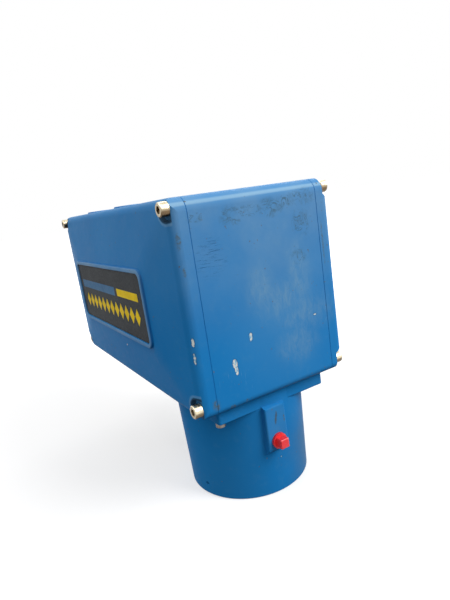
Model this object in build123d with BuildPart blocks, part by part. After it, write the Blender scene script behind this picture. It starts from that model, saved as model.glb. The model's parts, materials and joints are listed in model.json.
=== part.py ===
from build123d import *
from math import cos, sin, sqrt, radians
import os

os.makedirs("parts", exist_ok=True)

# Optical moisture sensor head, in millimetres.
# X runs along the head towards the snout end, -Y is the label side, Z is up.
# The origin is the centre of the snout's lower end.

# Housing casting
housing_length = 282.0
housing_height = 150.6
casting_width = 106.4
snout_axis_to_end = 61.5
snout_height = 87.0
top_corner_radius = 9.5
bottom_corner_radius = 6.0
wall = 7.0
sealing_rim_width = 14.0
sealing_rim_depth = 8.0
inner_corner_radius = 8.0
seam_chamfer = 0.35
corner_post_radius = 8.0

# Mounting bosses on top
mount_boss_radius = 12.0
mount_boss_height = 1.6
mount_from_far_end = 52.0
mount_pitch_x = 88.0
mount_offset_y = 40.0
mount_hole_radius = 3.4
mount_hole_depth = 6.5

# Side covers
cover_rim = 12.5
cover_rise = 5.6
cover_bevel_near = 52.0
cover_bevel_far = 42.0
cover_bevel_top = 45.6
cover_bevel_bottom = 42.8
cover_edge_radius = 7.0
cover_ridge_radius = 80.0
cover_wall = 4.0
cover_inner_edge_radius = 2.0
bead_inset = 0.6
bead_root = 0.5
bead_width = 3.4
bead_height = 2.0
bead_corner_radius = 8.0
bead_round = 0.9
label_thickness = 0.8
label_clearance = 0.3

# Cover screws, their pockets and the gasket groove
screw_inset_x = 5.0
screw_inset_top = 6.6
screw_inset_bottom = 8.0
cover_screw_radius = 3.175
cover_screw_head_radius = 4.7625
cover_screw_head_height = 6.35
cover_screw_hex = 4.76
cover_screw_hex_depth = 3.2
cover_screw_length = 25.4
# pocket depths under the cover's rim: far lower, far upper, near lower, near upper
left_seat_depths = [7.0, 2.0, 2.0, 2.0]
right_seat_depths = [5.2, 5.2, 7.0, 5.2]
pocket_radius = 7.4
pocket_taper = 15.0
tap_depth = 21.0
groove_inset = 9.6
groove_width = 3.2
groove_depth = 2.0
groove_corner_radius = 9.0

# Snout
barrel_top_radius = 53.0
barrel_taper = 2.5
barrel_wall = 10.5
flange_set_back_x = 1.5
flange_set_back_y = 3.6
flange_thickness = 11.4
flange_corner_radius = 2.0
flange_edge_round = 1.2
snout_gasket_thickness = 1.0
spider_seat_wall = 4.0
spider_pocket_depth = 8.0
floor_ledge = 3.0
snout_screw_inset_x = 6.7
snout_screw_inset_y = 4.6
snout_screw_radius = 2.5
snout_screw_head_radius = 3.7
snout_screw_head_height = 3.8
snout_screw_length = 18.0

# Purge port and plug
purge_pad_width = 19.0
purge_y = -3.0
purge_z = 46.8
purge_pad_rise = 2.5
purge_pad_edge_round = 1.5
purge_pad_lower_z = 35.5
purge_pad_slope = 4.5
plug_radius = 5.05
plug_length = 11.0
plug_flange_radius = 6.2
plug_flange_thickness = 2.0
plug_square = 7.4
plug_square_length = 6.4
plug_square_corner = 0.6

# Window in the snout
window_wall = 4.5
window_play = 0.2
window_thickness = 5.0
window_ring_width = 6.0
window_ring_height = 15.5
window_ring_recess = 1.5
window_gap = 0.4
o_ring_inset = 1.7
o_ring_section = 0.9
set_screw_z = 10.0
set_screw_radius = 1.5
set_screw_length = 3.0
set_screw_first_angle = -75.0

# Centre optics over the window
beam_z = 142.0
spider_thickness = 4.0
spider_leg_width = 6.0
spider_hub_radius = 15.0
spider_screw_inset = 3.1
small_screw_radius = 1.5
small_head_radius = 2.7
small_head_height = 2.4
small_screw_length = 6.0
beam_bore_radius = 9.5
beam_tube_radius = 12.0
beam_tube_flange = 3.0
mirror_block = 30.0
mirror_cheek = 3.0
fold_mirror_thickness = 3.0
fold_mirror_length = 34.0
detector_outer_radius = 14.0
detector_height = 19.0
detector_bore_radius = 11.5
detector_ledge = 2.0
detector_board_thickness = 1.6
detector_can_radius = 7.6
detector_can_height = 7.5
detector_cap_height = 3.0
detector_aperture_radius = 8.0

# Collecting mirror under the roof
mirror_radius = 44.5
mirror_thickness = 13.0
mirror_curvature = 110.0
mirror_land = 1.0
cell_wall = 3.8
cell_roof = 4.0
cell_boss_height = 8.4
mirror_ring_height = 3.4
mirror_ring_inner_radius = 41.5
cell_screw_circle_radius = 30.0
cell_screw_radius = 2.0
cell_screw_head_radius = 4.0
cell_screw_length = 12.0

# Chassis sheet
chassis_far_clearance = 15.5
chassis_snout_clearance = 12.0
chassis_roof_clearance = 20.4
sheet = 2.0
chassis_lift = 5.0
chassis_edge_clearance = 11.2
chassis_wall_clearance = 14.2
chassis_screw_margin = 9.0
chassis_screw_radius = 2.0
chassis_screw_head_radius = 3.5

# Lamp, lenses, filter wheel and motor along the beam, at stations out of 148 from the chassis' far end
stations = 148
lamp_station = 21
condenser_station = 54
wheel_station = 76
collimator_station = 136
bracket_sheet = 3.0
bracket_half_width = 20.0
bracket_foot = 14.0
bracket_screw_y = 13.0
lamp_bracket_height = 62.0
socket_radius = 8.0
socket_length = 18.0
socket_collar_radius = 11.0
socket_collar_height = 3.0
bulb_radius = 5.5
bulb_mouth_gap = 3.0
bulb_pin_radius = 0.75
bulb_pin_length = 8.0
bulb_pin_spacing = 4.0
reflector_mouth_radius = 20.0
reflector_gap = 6.0
reflector_sheet = 1.2
lens_block = 8.0
lens_edge = 3.0
lens_lip = 1.5
condenser_radius = 17.0
condenser_crown = 4.0
collimator_radius = 11.0
collimator_crown = 3.0
wheel_thickness = 4.0
wheel_radius = 36.0
filter_count = 8
filter_circle_radius = 26.0
filter_radius = 6.4
filter_thickness = 3.0
filter_bore_radius = 5.5
fit_clearance = 0.1
sync_slot_width = 3.0
sync_slot_depth = 5.0
hub_flange_radius = 12.0
hub_radius = 6.0
hub_gap = 5.0
hub_screw_circle_radius = 9.0
hub_screw_radius = 1.25
hub_screw_head_radius = 2.2
hub_screw_head_height = 1.5
shaft_radius = 2.5
running_clearance = 0.03
motor_gap = 8.0
motor_radius = 17.0
motor_end_gap = 10.0
motor_end_wall = 4.0
rotor_radius = 11.6
rotor_gap = 0.4
rotor_end_gap = 2.0
bearing_radius = 6.5
bearing_width = 4.0
shaft_hole_radius = 3.2
pilot_radius = 8.0
motor_screw_circle_radius = 14.5
motor_bracket_top = 18.0
sensor_width = 12.0
sensor_height = 12.0
sensor_depth = 8.0
sensor_slot_gap = 0.8
sensor_grip = 5.0
sensor_wall_gap = 3.0

# Electronics
transformer_length = 38.0
transformer_height = 34.0
transformer_coil_rise = 2.0
transformer_clearance = 1.0
transformer_end_gap = 16.0
board_thickness = 1.6
board_margin = 7.0
board_far_inset = 3.0
board_near_inset = 19.0
board_foot_gap = 8.0
board_head_gap = 9.0
standoff_radius = 3.0
standoff_length = 6.0
chip_height = 4.0
terminal_height = 9.0
# each chip or terminal strip as shares of the board: along, up, width, height
chips = [
    (-0.24, 0.21, 0.25, 0.15),
    (-0.24, -0.09, 0.25, 0.15),
    (0.1, 0.21, 0.16, 0.21),
    (0.11, -0.11, 0.19, 0.11),
]
terminals = [(0.35, 0.17, 0.08, 0.38), (0.35, -0.26, 0.1, 0.13), (-0.12, -0.36, 0.4, 0.09)]

# Receptacles in the far end wall
receptacle_y = 24.0
receptacle_z = 125.0
receptacle_flange = 30.0
receptacle_flange_corner = 3.0
receptacle_flange_thickness = 3.0
receptacle_gasket_thickness = 1.0
receptacle_radius = 12.0
receptacle_bore_radius = 10.2
receptacle_body_radius = 11.0
receptacle_reach = 14.0
receptacle_inner_length = 14.5
receptacle_screw_offset = 11.5
insert_face_drop = 10.0
contact_radius = 0.9
contact_length = 5.0

# Places worked out from the sizes above
near_x = snout_axis_to_end
far_x = near_x - housing_length
mid_x = (near_x + far_x) / 2
floor_z = snout_height
top_z = floor_z + housing_height
mid_z = (floor_z + top_z) / 2
seam_y = casting_width / 2
barrel_bottom_radius = barrel_top_radius - barrel_taper
barrel_bore_radius = barrel_top_radius - barrel_wall
flange_half_length = barrel_top_radius - flange_set_back_x
flange_half_width = barrel_top_radius - flange_set_back_y
spider_pocket_radius = barrel_top_radius - spider_seat_wall
floor_opening_radius = spider_pocket_radius - floor_ledge
spider_screw_circle_radius = spider_pocket_radius - spider_screw_inset
purge_pad_face = barrel_top_radius + purge_pad_rise
window_bore_radius = barrel_bottom_radius - window_wall
window_radius = window_bore_radius - window_play
window_ring_inner_radius = window_bore_radius - window_ring_width
o_ring_radius = window_bore_radius - o_ring_inset
rim_y = seam_y + cover_rim
plateau_y = rim_y + cover_rise
plateau_x = (near_x - cover_bevel_near + far_x + cover_bevel_far) / 2
plateau_z = (top_z - cover_bevel_top + floor_z + cover_bevel_bottom) / 2
floor_top = floor_z + wall
roof_z = top_z - wall
flange_top = floor_z - snout_gasket_thickness
flange_bottom = flange_top - flange_thickness
spider_z = flange_top - spider_pocket_depth
window_z = window_ring_recess + window_ring_height
ledge_z = window_z + window_thickness + window_gap
cell_top = roof_z - cell_boss_height
mirror_back = cell_top - cell_roof
mirror_rim_z = mirror_back - mirror_thickness
cell_bottom = mirror_rim_z - mirror_ring_height
cell_radius = mirror_radius + fit_clearance + cell_wall
mirror_block_z = beam_z - mirror_block / 2
mirror_block_top = beam_z + mirror_block / 2
chassis_z = floor_top + chassis_lift
plate_z = chassis_z + sheet
chassis_start = far_x + wall + chassis_far_clearance
chassis_end = -(floor_opening_radius + chassis_snout_clearance)
chassis_length = chassis_end - chassis_start
chassis_edge_y = -(seam_y - chassis_edge_clearance)
chassis_wall_y = seam_y - chassis_wall_clearance
chassis_wall_height = roof_z - chassis_z - chassis_roof_clearance
station = chassis_length / stations
lamp_bracket_x = chassis_start + lamp_station * station
condenser_x = chassis_start + condenser_station * station
wheel_x = chassis_start + wheel_station * station
collimator_x = chassis_start + collimator_station * station
wheel_z = beam_z + filter_circle_radius
wheel_back = wheel_x + wheel_thickness
bracket_x = wheel_back + motor_gap
motor_x = bracket_x + bracket_sheet
motor_length = collimator_x - motor_x - motor_end_gap
hub_length = wheel_x - condenser_x - lens_block - hub_gap
hub_flange = hub_length / 3
hub_face = wheel_x - hub_flange
reflector_depth = condenser_x - lamp_bracket_x - socket_collar_height - reflector_gap
bulb_length = reflector_depth - bulb_mouth_gap
transformer_x = chassis_end - transformer_end_gap - transformer_length
transformer_depth = chassis_wall_y - bracket_half_width - transformer_clearance - transformer_coil_rise
board_x = chassis_start + board_far_inset
board_z = plate_z + board_foot_gap
board_length = chassis_length - board_far_inset - board_near_inset
board_height = chassis_z + chassis_wall_height - board_head_gap - board_z
cover_corners = [
    (x, z)
    for x in (far_x + screw_inset_x, near_x - screw_inset_x)
    for z in (floor_z + screw_inset_bottom, top_z - screw_inset_top)
]
bead_length = housing_length - cover_bevel_near - cover_bevel_far - 2 * bead_inset
bead_tall = housing_height - cover_bevel_top - cover_bevel_bottom - 2 * bead_inset
mount_mid_x = far_x + mount_from_far_end + mount_pitch_x / 2
chassis_corners = [
    (chassis_start + along, y)
    for along in (chassis_screw_margin, chassis_length - chassis_screw_margin)
    for y in (chassis_edge_y + chassis_screw_margin, chassis_wall_y - chassis_screw_margin)
]
flange_screw_x = flange_half_length - snout_screw_inset_x
flange_screw_y = flange_half_width - snout_screw_inset_y
flange_corners = [(i * flange_screw_x, k * flange_screw_y) for i in (-1, 1) for k in (-1, 1)]


def ring_of(radius, count, first=0.0):
    """Points spaced evenly round a circle."""
    angles = [radians(first + 360.0 * n / count) for n in range(count)]
    return [(radius * cos(a), radius * sin(a)) for a in angles]


def outline(inset, top_corner, bottom_corner):
    """The housing seen from the label side, smaller by the inset all round."""
    with BuildSketch() as form:
        with Locations((mid_x, mid_z)):
            Rectangle(housing_length - 2 * inset, housing_height - 2 * inset)
        fillet(form.vertices().group_by(Axis.Y)[-1], top_corner)
        fillet(form.vertices().group_by(Axis.Y)[0], bottom_corner)
    return form.sketch


def slopes(inset, shell, edge_radius):
    """A block with the four slopes of a cover and the flat between them."""
    x0, x1 = far_x + inset, near_x - inset
    z0, z1 = floor_z + inset, top_z - inset
    flat_y = plateau_y - shell
    rim = rim_y - shell
    rise = cover_rise * inset
    with BuildPart() as form:
        with BuildSketch(Plane.YZ.offset(x0)) as end_view:
            with BuildLine():
                Polyline(
                    (-seam_y, z0), (-rim - rise / cover_bevel_bottom, z0),
                    (-flat_y, floor_z + cover_bevel_bottom), (-flat_y, top_z - cover_bevel_top),
                    (-rim - rise / cover_bevel_top, z1), (-seam_y, z1), close=True,
                )
            make_face()
            if edge_radius:
                fillet(end_view.vertices().sort_by(Axis.X)[2:4], edge_radius)
        extrude(amount=x1 - x0)
        with BuildSketch(Plane.XY.offset(z0)) as top_view:
            with BuildLine():
                Polyline(
                    (x0, -seam_y), (x0, -rim - rise / cover_bevel_far), (far_x + cover_bevel_far, -flat_y),
                    (near_x - cover_bevel_near, -flat_y), (x1, -rim - rise / cover_bevel_near),
                    (x1, -seam_y), close=True,
                )
            make_face()
            if edge_radius:
                fillet(top_view.vertices().sort_by(Axis.Y)[2:4], edge_radius)
        extrude(amount=z1 - z0, mode=Mode.INTERSECT)
    return form.part


def soft_slopes():
    """The slopes run out past the cover's sides, with rounded ridges between them."""
    with BuildPart() as form:
        add(slopes(-cover_rim, 0.0, 0.0))
        flat_edges = form.faces().sort_by(Axis.Y)[0].edges()
        slanted = form.edges().filter_by(lambda edge: min(abs(v) for v in edge.tangent_at(0.5)) > 0.01)
        fillet(flat_edges + slanted, cover_ridge_radius)
    return form.part


def crown(inset, shell, edge_radius, top_corner, bottom_corner):
    """A shallow four-sided crown on the -Y side, standing on the seam plane."""
    with BuildPart() as form:
        with BuildSketch(Plane.XZ.offset(seam_y)):
            add(outline(inset, top_corner, bottom_corner))
        extrude(amount=plateau_y - shell - seam_y)
        add(slopes(inset, shell, edge_radius), mode=Mode.INTERSECT)
    return form.part


def cover(seat_depths):
    """A side cover with its bead, its hollow and a screw pocket in each corner."""
    with BuildPart() as form:
        add(crown(0.0, 0.0, cover_edge_radius, top_corner_radius, bottom_corner_radius))
        add(soft_slopes(), mode=Mode.INTERSECT)
        chamfer(form.faces().sort_by(Axis.Y)[-1].edges(), seam_chamfer)
        add(
            crown(
                sealing_rim_width, cover_wall, cover_inner_edge_radius, inner_corner_radius,
                inner_corner_radius,
            ),
            mode=Mode.SUBTRACT,
        )
        # raised bead round the label
        with BuildSketch(Plane.XZ.offset(plateau_y - bead_root)):
            with Locations((plateau_x, plateau_z)):
                RectangleRounded(bead_length, bead_tall, bead_corner_radius)
                RectangleRounded(
                    bead_length - 2 * bead_width, bead_tall - 2 * bead_width, bead_corner_radius - bead_width,
                    mode=Mode.SUBTRACT,
                )
        extrude(amount=bead_root + bead_height)
        fillet(form.faces().sort_by(Axis.Y)[0].edges(), bead_round)
        # corner pockets with the screw holes
        for spot, depth in zip(cover_corners, seat_depths):
            with BuildSketch(Plane.XZ.offset(rim_y - depth)):
                with Locations(spot):
                    Circle(pocket_radius)
            extrude(amount=cover_rise + depth, taper=-pocket_taper, mode=Mode.SUBTRACT)
        with BuildSketch(Plane.XZ.offset(seam_y)):
            with Locations(*cover_corners):
                Circle(cover_screw_radius + fit_clearance)
        extrude(amount=cover_rim, mode=Mode.SUBTRACT)
    return form.part


def screws(plane, spots, head_radius, head_height, shank_radius, length, hexagon=0.0, hex_depth=0.0):
    """Screws whose heads stand on the plane and whose shanks run back through it."""
    with BuildPart() as group:
        with BuildSketch(plane):
            with Locations(*spots):
                Circle(head_radius)
        extrude(amount=head_height)
        chamfer(group.edges().filter_by(GeomType.CIRCLE), 0.12 * head_radius)
        if hexagon:
            with BuildSketch(plane.offset(head_height)):
                with Locations(*spots):
                    RegularPolygon(hexagon / 2, 6, major_radius=False)
            extrude(amount=-hex_depth, mode=Mode.SUBTRACT)
        with BuildSketch(plane):
            with Locations(*spots):
                Circle(shank_radius)
        extrude(amount=-length)
    return group.part


def cover_screws(seat_depths):
    """The socket head screws of one side cover."""
    with BuildPart() as group:
        for spot, depth in zip(cover_corners, seat_depths):
            add(screws(
                Plane.XZ.offset(rim_y - depth), [spot], cover_screw_head_radius, cover_screw_head_height,
                cover_screw_radius, cover_screw_length, cover_screw_hex, cover_screw_hex_depth,
            ))
    return group.part


def flange_plate():
    """The plate at the top of the snout, rounded along its lower edges."""
    with BuildPart() as form:
        with BuildSketch(Plane.XY.offset(flange_bottom)):
            RectangleRounded(2 * flange_half_length, 2 * flange_half_width, flange_corner_radius)
        extrude(amount=flange_thickness)
        fillet(form.faces().sort_by(Axis.Z)[0].edges(), flange_edge_round)
    return form.part


def purge_pad():
    """The raised pad for the purge port, rounded round its face."""
    with BuildPart() as form:
        with BuildSketch(Plane.XZ.offset(-purge_y)):
            with BuildLine():
                Polyline(
                    (barrel_bore_radius, flange_bottom + wall), (purge_pad_face, flange_bottom),
                    (purge_pad_face, purge_pad_lower_z + purge_pad_slope),
                    (barrel_bottom_radius, purge_pad_lower_z), (barrel_bore_radius, purge_pad_lower_z),
                    close=True,
                )
            make_face()
        extrude(amount=purge_pad_width / 2, both=True)
        fillet(form.faces().sort_by(Axis.X)[-1].edges(), purge_pad_edge_round)
    return form.part


def rear_plane(x):
    """The plane at x that faces the far end."""
    return Plane(origin=(x, 0, 0), x_dir=(0, -1, 0), z_dir=(-1, 0, 0))


def foot_screw_spots(x):
    """The two screws of a bracket foot whose upright starts at x."""
    return [(x - bracket_foot / 2, -bracket_screw_y), (x - bracket_foot / 2, bracket_screw_y)]


def bracket(x, thickness, height, openings):
    """An upright plate with a foot towards the far end and round openings (y, z, radius)."""
    with BuildPart() as form:
        with BuildSketch(Plane.YZ.offset(x)):
            with Locations((0, plate_z + height / 2)):
                Rectangle(2 * bracket_half_width, height)
            for y, z, radius in openings:
                with Locations((y, z)):
                    Circle(radius, mode=Mode.SUBTRACT)
        extrude(amount=thickness)
        with BuildSketch(Plane.XY.offset(plate_z)):
            with Locations((x - bracket_foot / 2, 0)):
                Rectangle(bracket_foot, 2 * bracket_half_width)
            with Locations(*foot_screw_spots(x)):
                Circle(small_screw_radius, mode=Mode.SUBTRACT)
        extrude(amount=bracket_sheet)
    return form.part


def lens_holder(x, radius):
    """A bracket block bored for a lens, with a thin lip in front of it."""
    height = beam_z - plate_z + radius + bracket_sheet
    with BuildPart() as form:
        add(bracket(x, lens_block, height, [(0, beam_z, radius - lens_lip)]))
        with BuildSketch(Plane.YZ.offset(x)):
            with Locations((0, beam_z)):
                Circle(radius + fit_clearance)
        extrude(amount=lens_block - lens_lip, mode=Mode.SUBTRACT)
    return form.part


def lens(x, radius, crown):
    """A plano-convex lens with its flat face on the holder's lip."""
    flat_x = x + lens_block - lens_lip
    edge_x = flat_x - lens_edge
    with BuildPart() as form:
        with BuildSketch(Plane.XZ):
            with BuildLine():
                Line((flat_x, beam_z), (flat_x, beam_z + radius))
                Line((flat_x, beam_z + radius), (edge_x, beam_z + radius))
                reach = (radius**2 + crown**2) / (2 * crown)
                RadiusArc((edge_x, beam_z + radius), (edge_x - crown, beam_z), -reach)
                Line((edge_x - crown, beam_z), (flat_x, beam_z))
            make_face()
        revolve(axis=Axis((0, 0, beam_z), (1, 0, 0)))
    return form.part


def receptacle(y):
    """A flanged connector shell that stands out of the far end wall."""
    flange_x = far_x - receptacle_gasket_thickness
    with BuildPart() as form:
        with BuildSketch(rear_plane(flange_x)):
            with Locations((-y, receptacle_z)):
                RectangleRounded(receptacle_flange, receptacle_flange, receptacle_flange_corner)
                with GridLocations(2 * receptacle_screw_offset, 2 * receptacle_screw_offset, 2, 2):
                    Circle(small_screw_radius, mode=Mode.SUBTRACT)
        extrude(amount=receptacle_flange_thickness)
        with BuildSketch(rear_plane(flange_x)):
            with Locations((-y, receptacle_z)):
                Circle(receptacle_radius)
        extrude(amount=receptacle_flange_thickness + receptacle_reach)
        with BuildSketch(rear_plane(flange_x)):
            with Locations((-y, receptacle_z)):
                Circle(receptacle_body_radius)
        extrude(amount=-receptacle_inner_length)
        with BuildSketch(rear_plane(flange_x - receptacle_flange_thickness - receptacle_reach)):
            with Locations((-y, receptacle_z)):
                Circle(receptacle_bore_radius)
        extrude(
            amount=-(receptacle_reach + receptacle_flange_thickness + receptacle_inner_length),
            mode=Mode.SUBTRACT,
        )
        mouth = form.faces().sort_by(Axis.X)[0]
        chamfer(mouth.outer_wire().edges(), 0.6)
    return form.part


# Shape of the gasket groove in both seams
groove_outer = outline(groove_inset, groove_corner_radius, groove_corner_radius)
groove_inner_radius = groove_corner_radius - groove_width
groove_ring = groove_outer - outline(groove_inset + groove_width, groove_inner_radius, groove_inner_radius)

# Housing casting, open on both long sides
with BuildPart() as housing_body:
    with BuildSketch(Plane.XZ):
        add(outline(0.0, top_corner_radius, bottom_corner_radius))
    extrude(amount=seam_y, both=True)
    seams = housing_body.faces().filter_by(Axis.Y)
    chamfer(seams.edges(), seam_chamfer)
    with BuildSketch(Plane.XZ):
        add(outline(sealing_rim_width, inner_corner_radius, inner_corner_radius))
    extrude(amount=seam_y, both=True, mode=Mode.SUBTRACT)
    with BuildSketch(Plane.XZ):
        add(outline(wall, inner_corner_radius, inner_corner_radius))
    extrude(amount=seam_y - sealing_rim_depth, both=True, mode=Mode.SUBTRACT)
    # posts that take the cover screws
    with BuildSketch(Plane.XZ):
        with Locations(*cover_corners):
            Circle(corner_post_radius)
        add(outline(wall / 2, top_corner_radius, bottom_corner_radius), mode=Mode.INTERSECT)
    extrude(amount=seam_y - sealing_rim_depth, both=True)
    # gasket groove and tapped holes in both seams
    for seam, way in ((seam_y, -1), (-seam_y, 1)):
        with BuildSketch(Plane.XZ.offset(seam)):
            add(groove_ring)
        extrude(amount=way * groove_depth, mode=Mode.SUBTRACT)
        with BuildSketch(Plane.XZ.offset(seam)):
            with Locations(*cover_corners):
                Circle(cover_screw_radius)
        extrude(amount=way * tap_depth, mode=Mode.SUBTRACT)
    # bosses on the floor under the chassis
    with BuildSketch(Plane.XY.offset(floor_z + wall / 2)):
        with Locations(*chassis_corners):
            Circle(3 * chassis_screw_radius)
    extrude(amount=wall / 2 + chassis_lift)
    with BuildSketch(Plane.XY.offset(chassis_z)):
        with Locations(*chassis_corners):
            Circle(chassis_screw_radius)
    extrude(amount=-(chassis_lift + wall / 2), mode=Mode.SUBTRACT)
    # bosses under the roof for the mirror cell
    with BuildSketch(Plane.XY.offset(cell_top)):
        with Locations(*ring_of(cell_screw_circle_radius, 3)):
            Circle(3 * cell_screw_radius)
    extrude(amount=cell_boss_height + wall / 2)
    with BuildSketch(Plane.XY.offset(cell_top)):
        with Locations(*ring_of(cell_screw_circle_radius, 3)):
            Circle(cell_screw_radius)
    extrude(amount=cell_screw_length - cell_roof, mode=Mode.SUBTRACT)
    # round opening over the snout and the tapped holes of its flange
    with BuildSketch(Plane.XY.offset(floor_z)):
        Circle(floor_opening_radius)
    extrude(amount=sealing_rim_width, mode=Mode.SUBTRACT)
    with BuildSketch(Plane.XY.offset(floor_z)):
        with Locations(*flange_corners):
            Circle(snout_screw_radius)
    extrude(amount=wall - 1, mode=Mode.SUBTRACT)
    # four round bosses on top with tapped holes
    with BuildSketch(Plane.XY.offset(top_z)):
        with Locations((mount_mid_x, 0)):
            with GridLocations(mount_pitch_x, 2 * mount_offset_y, 2, 2):
                Circle(mount_boss_radius)
    extrude(amount=mount_boss_height)
    chamfer(housing_body.faces().sort_by(Axis.Z)[-4:].edges(), 0.5)
    with BuildSketch(Plane.XY.offset(top_z + mount_boss_height)):
        with Locations((mount_mid_x, 0)):
            with GridLocations(mount_pitch_x, 2 * mount_offset_y, 2, 2):
                Circle(mount_hole_radius)
    extrude(amount=-mount_hole_depth, mode=Mode.SUBTRACT)
    # openings of the two receptacles with their tapped holes
    with BuildSketch(Plane.YZ.offset(far_x)):
        with Locations((-receptacle_y, receptacle_z), (receptacle_y, receptacle_z)):
            Circle(receptacle_body_radius + fit_clearance)
            with GridLocations(2 * receptacle_screw_offset, 2 * receptacle_screw_offset, 2, 2):
                Circle(small_screw_radius)
    extrude(amount=wall, mode=Mode.SUBTRACT)
housing_body.part.label = "housing_body"
export_step(housing_body.part, "parts/housing_body.step")

# Side covers: an outer crown, hollowed by a smaller one
with BuildPart() as left_cover:
    add(cover(left_seat_depths))
left_cover.part.label = "left_cover"
export_step(left_cover.part, "parts/left_cover.step")

with BuildPart() as right_cover:
    add(cover(right_seat_depths))
    mirror(about=Plane.XZ, mode=Mode.REPLACE)
right_cover.part.label = "right_cover"
export_step(right_cover.part, "parts/right_cover.step")

# Gaskets that fill the grooves of the two seams
with BuildPart() as left_cover_gasket:
    with BuildSketch(Plane.XZ.offset(seam_y)):
        add(groove_ring)
    extrude(amount=-groove_depth)
left_cover_gasket.part.label = "left_cover_gasket"
export_step(left_cover_gasket.part, "parts/left_cover_gasket.step")

with BuildPart() as right_cover_gasket:
    add(left_cover_gasket.part)
    mirror(about=Plane.XZ, mode=Mode.REPLACE)
right_cover_gasket.part.label = "right_cover_gasket"
export_step(right_cover_gasket.part, "parts/right_cover_gasket.step")

# Socket head screws in the corner pockets
with BuildPart() as left_cover_screws:
    add(cover_screws(left_seat_depths))
left_cover_screws.part.label = "left_cover_screws"
export_step(left_cover_screws.part, "parts/left_cover_screws.step")

with BuildPart() as right_cover_screws:
    add(cover_screws(right_seat_depths))
    mirror(about=Plane.XZ, mode=Mode.REPLACE)
right_cover_screws.part.label = "right_cover_screws"
export_step(right_cover_screws.part, "parts/right_cover_screws.step")

# Label plate inside the bead
with BuildPart() as label_plate:
    with BuildSketch(Plane.XZ.offset(plateau_y)):
        with Locations((plateau_x, plateau_z)):
            RectangleRounded(
                bead_length - 2 * (bead_width + label_clearance),
                bead_tall - 2 * (bead_width + label_clearance),
                bead_corner_radius - bead_width,
            )
    extrude(amount=label_thickness)
label_plate.part.label = "label_plate"
export_step(label_plate.part, "parts/label_plate.step")

# Snout casting: flange, tapered barrel, purge pad
with BuildPart() as snout:
    with BuildSketch(Plane.XZ):
        with BuildLine():
            Polyline(
                (0, 0), (barrel_bottom_radius, 0), (barrel_top_radius, flange_bottom),
                (barrel_top_radius, flange_top), (0, flange_top), close=True,
            )
        make_face()
    revolve(axis=Axis.Z)
    chamfer(snout.faces().sort_by(Axis.Z)[0].edges(), 0.8)
    add(flange_plate())
    add(purge_pad())
    # bore, spider pocket and window seat
    with BuildSketch(Plane.XY):
        Circle(barrel_bore_radius)
    extrude(amount=flange_top, mode=Mode.SUBTRACT)
    with BuildSketch(Plane.XY.offset(spider_z)):
        Circle(spider_pocket_radius)
    extrude(amount=spider_pocket_depth, mode=Mode.SUBTRACT)
    with BuildSketch(Plane.XY):
        Circle(window_bore_radius)
    extrude(amount=ledge_z, mode=Mode.SUBTRACT)
    with BuildSketch(Plane.XY.offset(ledge_z)):
        Circle(o_ring_radius + o_ring_section)
        Circle(o_ring_radius - o_ring_section, mode=Mode.SUBTRACT)
    extrude(amount=2 * o_ring_section - window_gap, mode=Mode.SUBTRACT)
    # holes: flange, spider, purge port, set screws
    with BuildSketch(Plane.XY.offset(flange_bottom)):
        with Locations(*flange_corners):
            Circle(snout_screw_radius + fit_clearance)
    extrude(amount=flange_thickness, mode=Mode.SUBTRACT)
    with BuildSketch(Plane.XY.offset(spider_z)):
        with Locations(*ring_of(spider_screw_circle_radius, 3, 90)):
            Circle(small_screw_radius)
    extrude(amount=-small_screw_length, mode=Mode.SUBTRACT)
    with BuildSketch(Plane.YZ.offset(barrel_bore_radius - wall)):
        with Locations((purge_y, purge_z)):
            Circle(plug_radius + fit_clearance)
    extrude(amount=purge_pad_face - barrel_bore_radius + 2 * wall, mode=Mode.SUBTRACT)
    for x, y in ring_of(1, 3, set_screw_first_angle):
        with BuildSketch(Plane(origin=(0, 0, set_screw_z), z_dir=(x, y, 0))):
            Circle(set_screw_radius)
        extrude(amount=barrel_top_radius, mode=Mode.SUBTRACT)
snout.part.label = "snout"
export_step(snout.part, "parts/snout.step")

# Flat gasket between the snout flange and the housing floor
with BuildPart() as snout_gasket:
    with BuildSketch(Plane.XY.offset(flange_top)):
        RectangleRounded(2 * flange_half_length, 2 * flange_half_width, flange_corner_radius)
        Circle(barrel_top_radius)
        Circle(spider_pocket_radius, mode=Mode.SUBTRACT)
        with Locations(*flange_corners):
            Circle(snout_screw_radius + fit_clearance, mode=Mode.SUBTRACT)
    extrude(amount=snout_gasket_thickness)
snout_gasket.part.label = "snout_gasket"
export_step(snout_gasket.part, "parts/snout_gasket.step")

# Three screws under the flange; the hole at the near right corner is empty
flange_screw_spots = [(x, -y) for x, y in flange_corners[:3]]
with BuildPart() as snout_screws:
    add(screws(
        Plane(origin=(0, 0, flange_bottom), x_dir=(1, 0, 0), z_dir=(0, 0, -1)), flange_screw_spots,
        snout_screw_head_radius, snout_screw_head_height, snout_screw_radius, snout_screw_length,
        snout_screw_radius * 1.6, snout_screw_head_height / 2,
    ))
snout_screws.part.label = "snout_screws"
export_step(snout_screws.part, "parts/snout_screws.step")

# Plug of the purge port
with BuildPart() as purge_plug:
    with BuildSketch(Plane.YZ.offset(purge_pad_face)):
        with Locations((purge_y, purge_z)):
            Circle(plug_radius)
    extrude(amount=-plug_length)
    with BuildSketch(Plane.YZ.offset(purge_pad_face)):
        with Locations((purge_y, purge_z)):
            Circle(plug_flange_radius)
    extrude(amount=plug_flange_thickness)
    with BuildSketch(Plane.YZ.offset(purge_pad_face)):
        with Locations((purge_y, purge_z)):
            RectangleRounded(plug_square, plug_square, plug_square_corner)
    extrude(amount=plug_flange_thickness + plug_square_length)
    chamfer(purge_plug.faces().sort_by(Axis.X)[-1].edges(), 0.5)
purge_plug.part.label = "purge_plug"
export_step(purge_plug.part, "parts/purge_plug.step")

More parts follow.
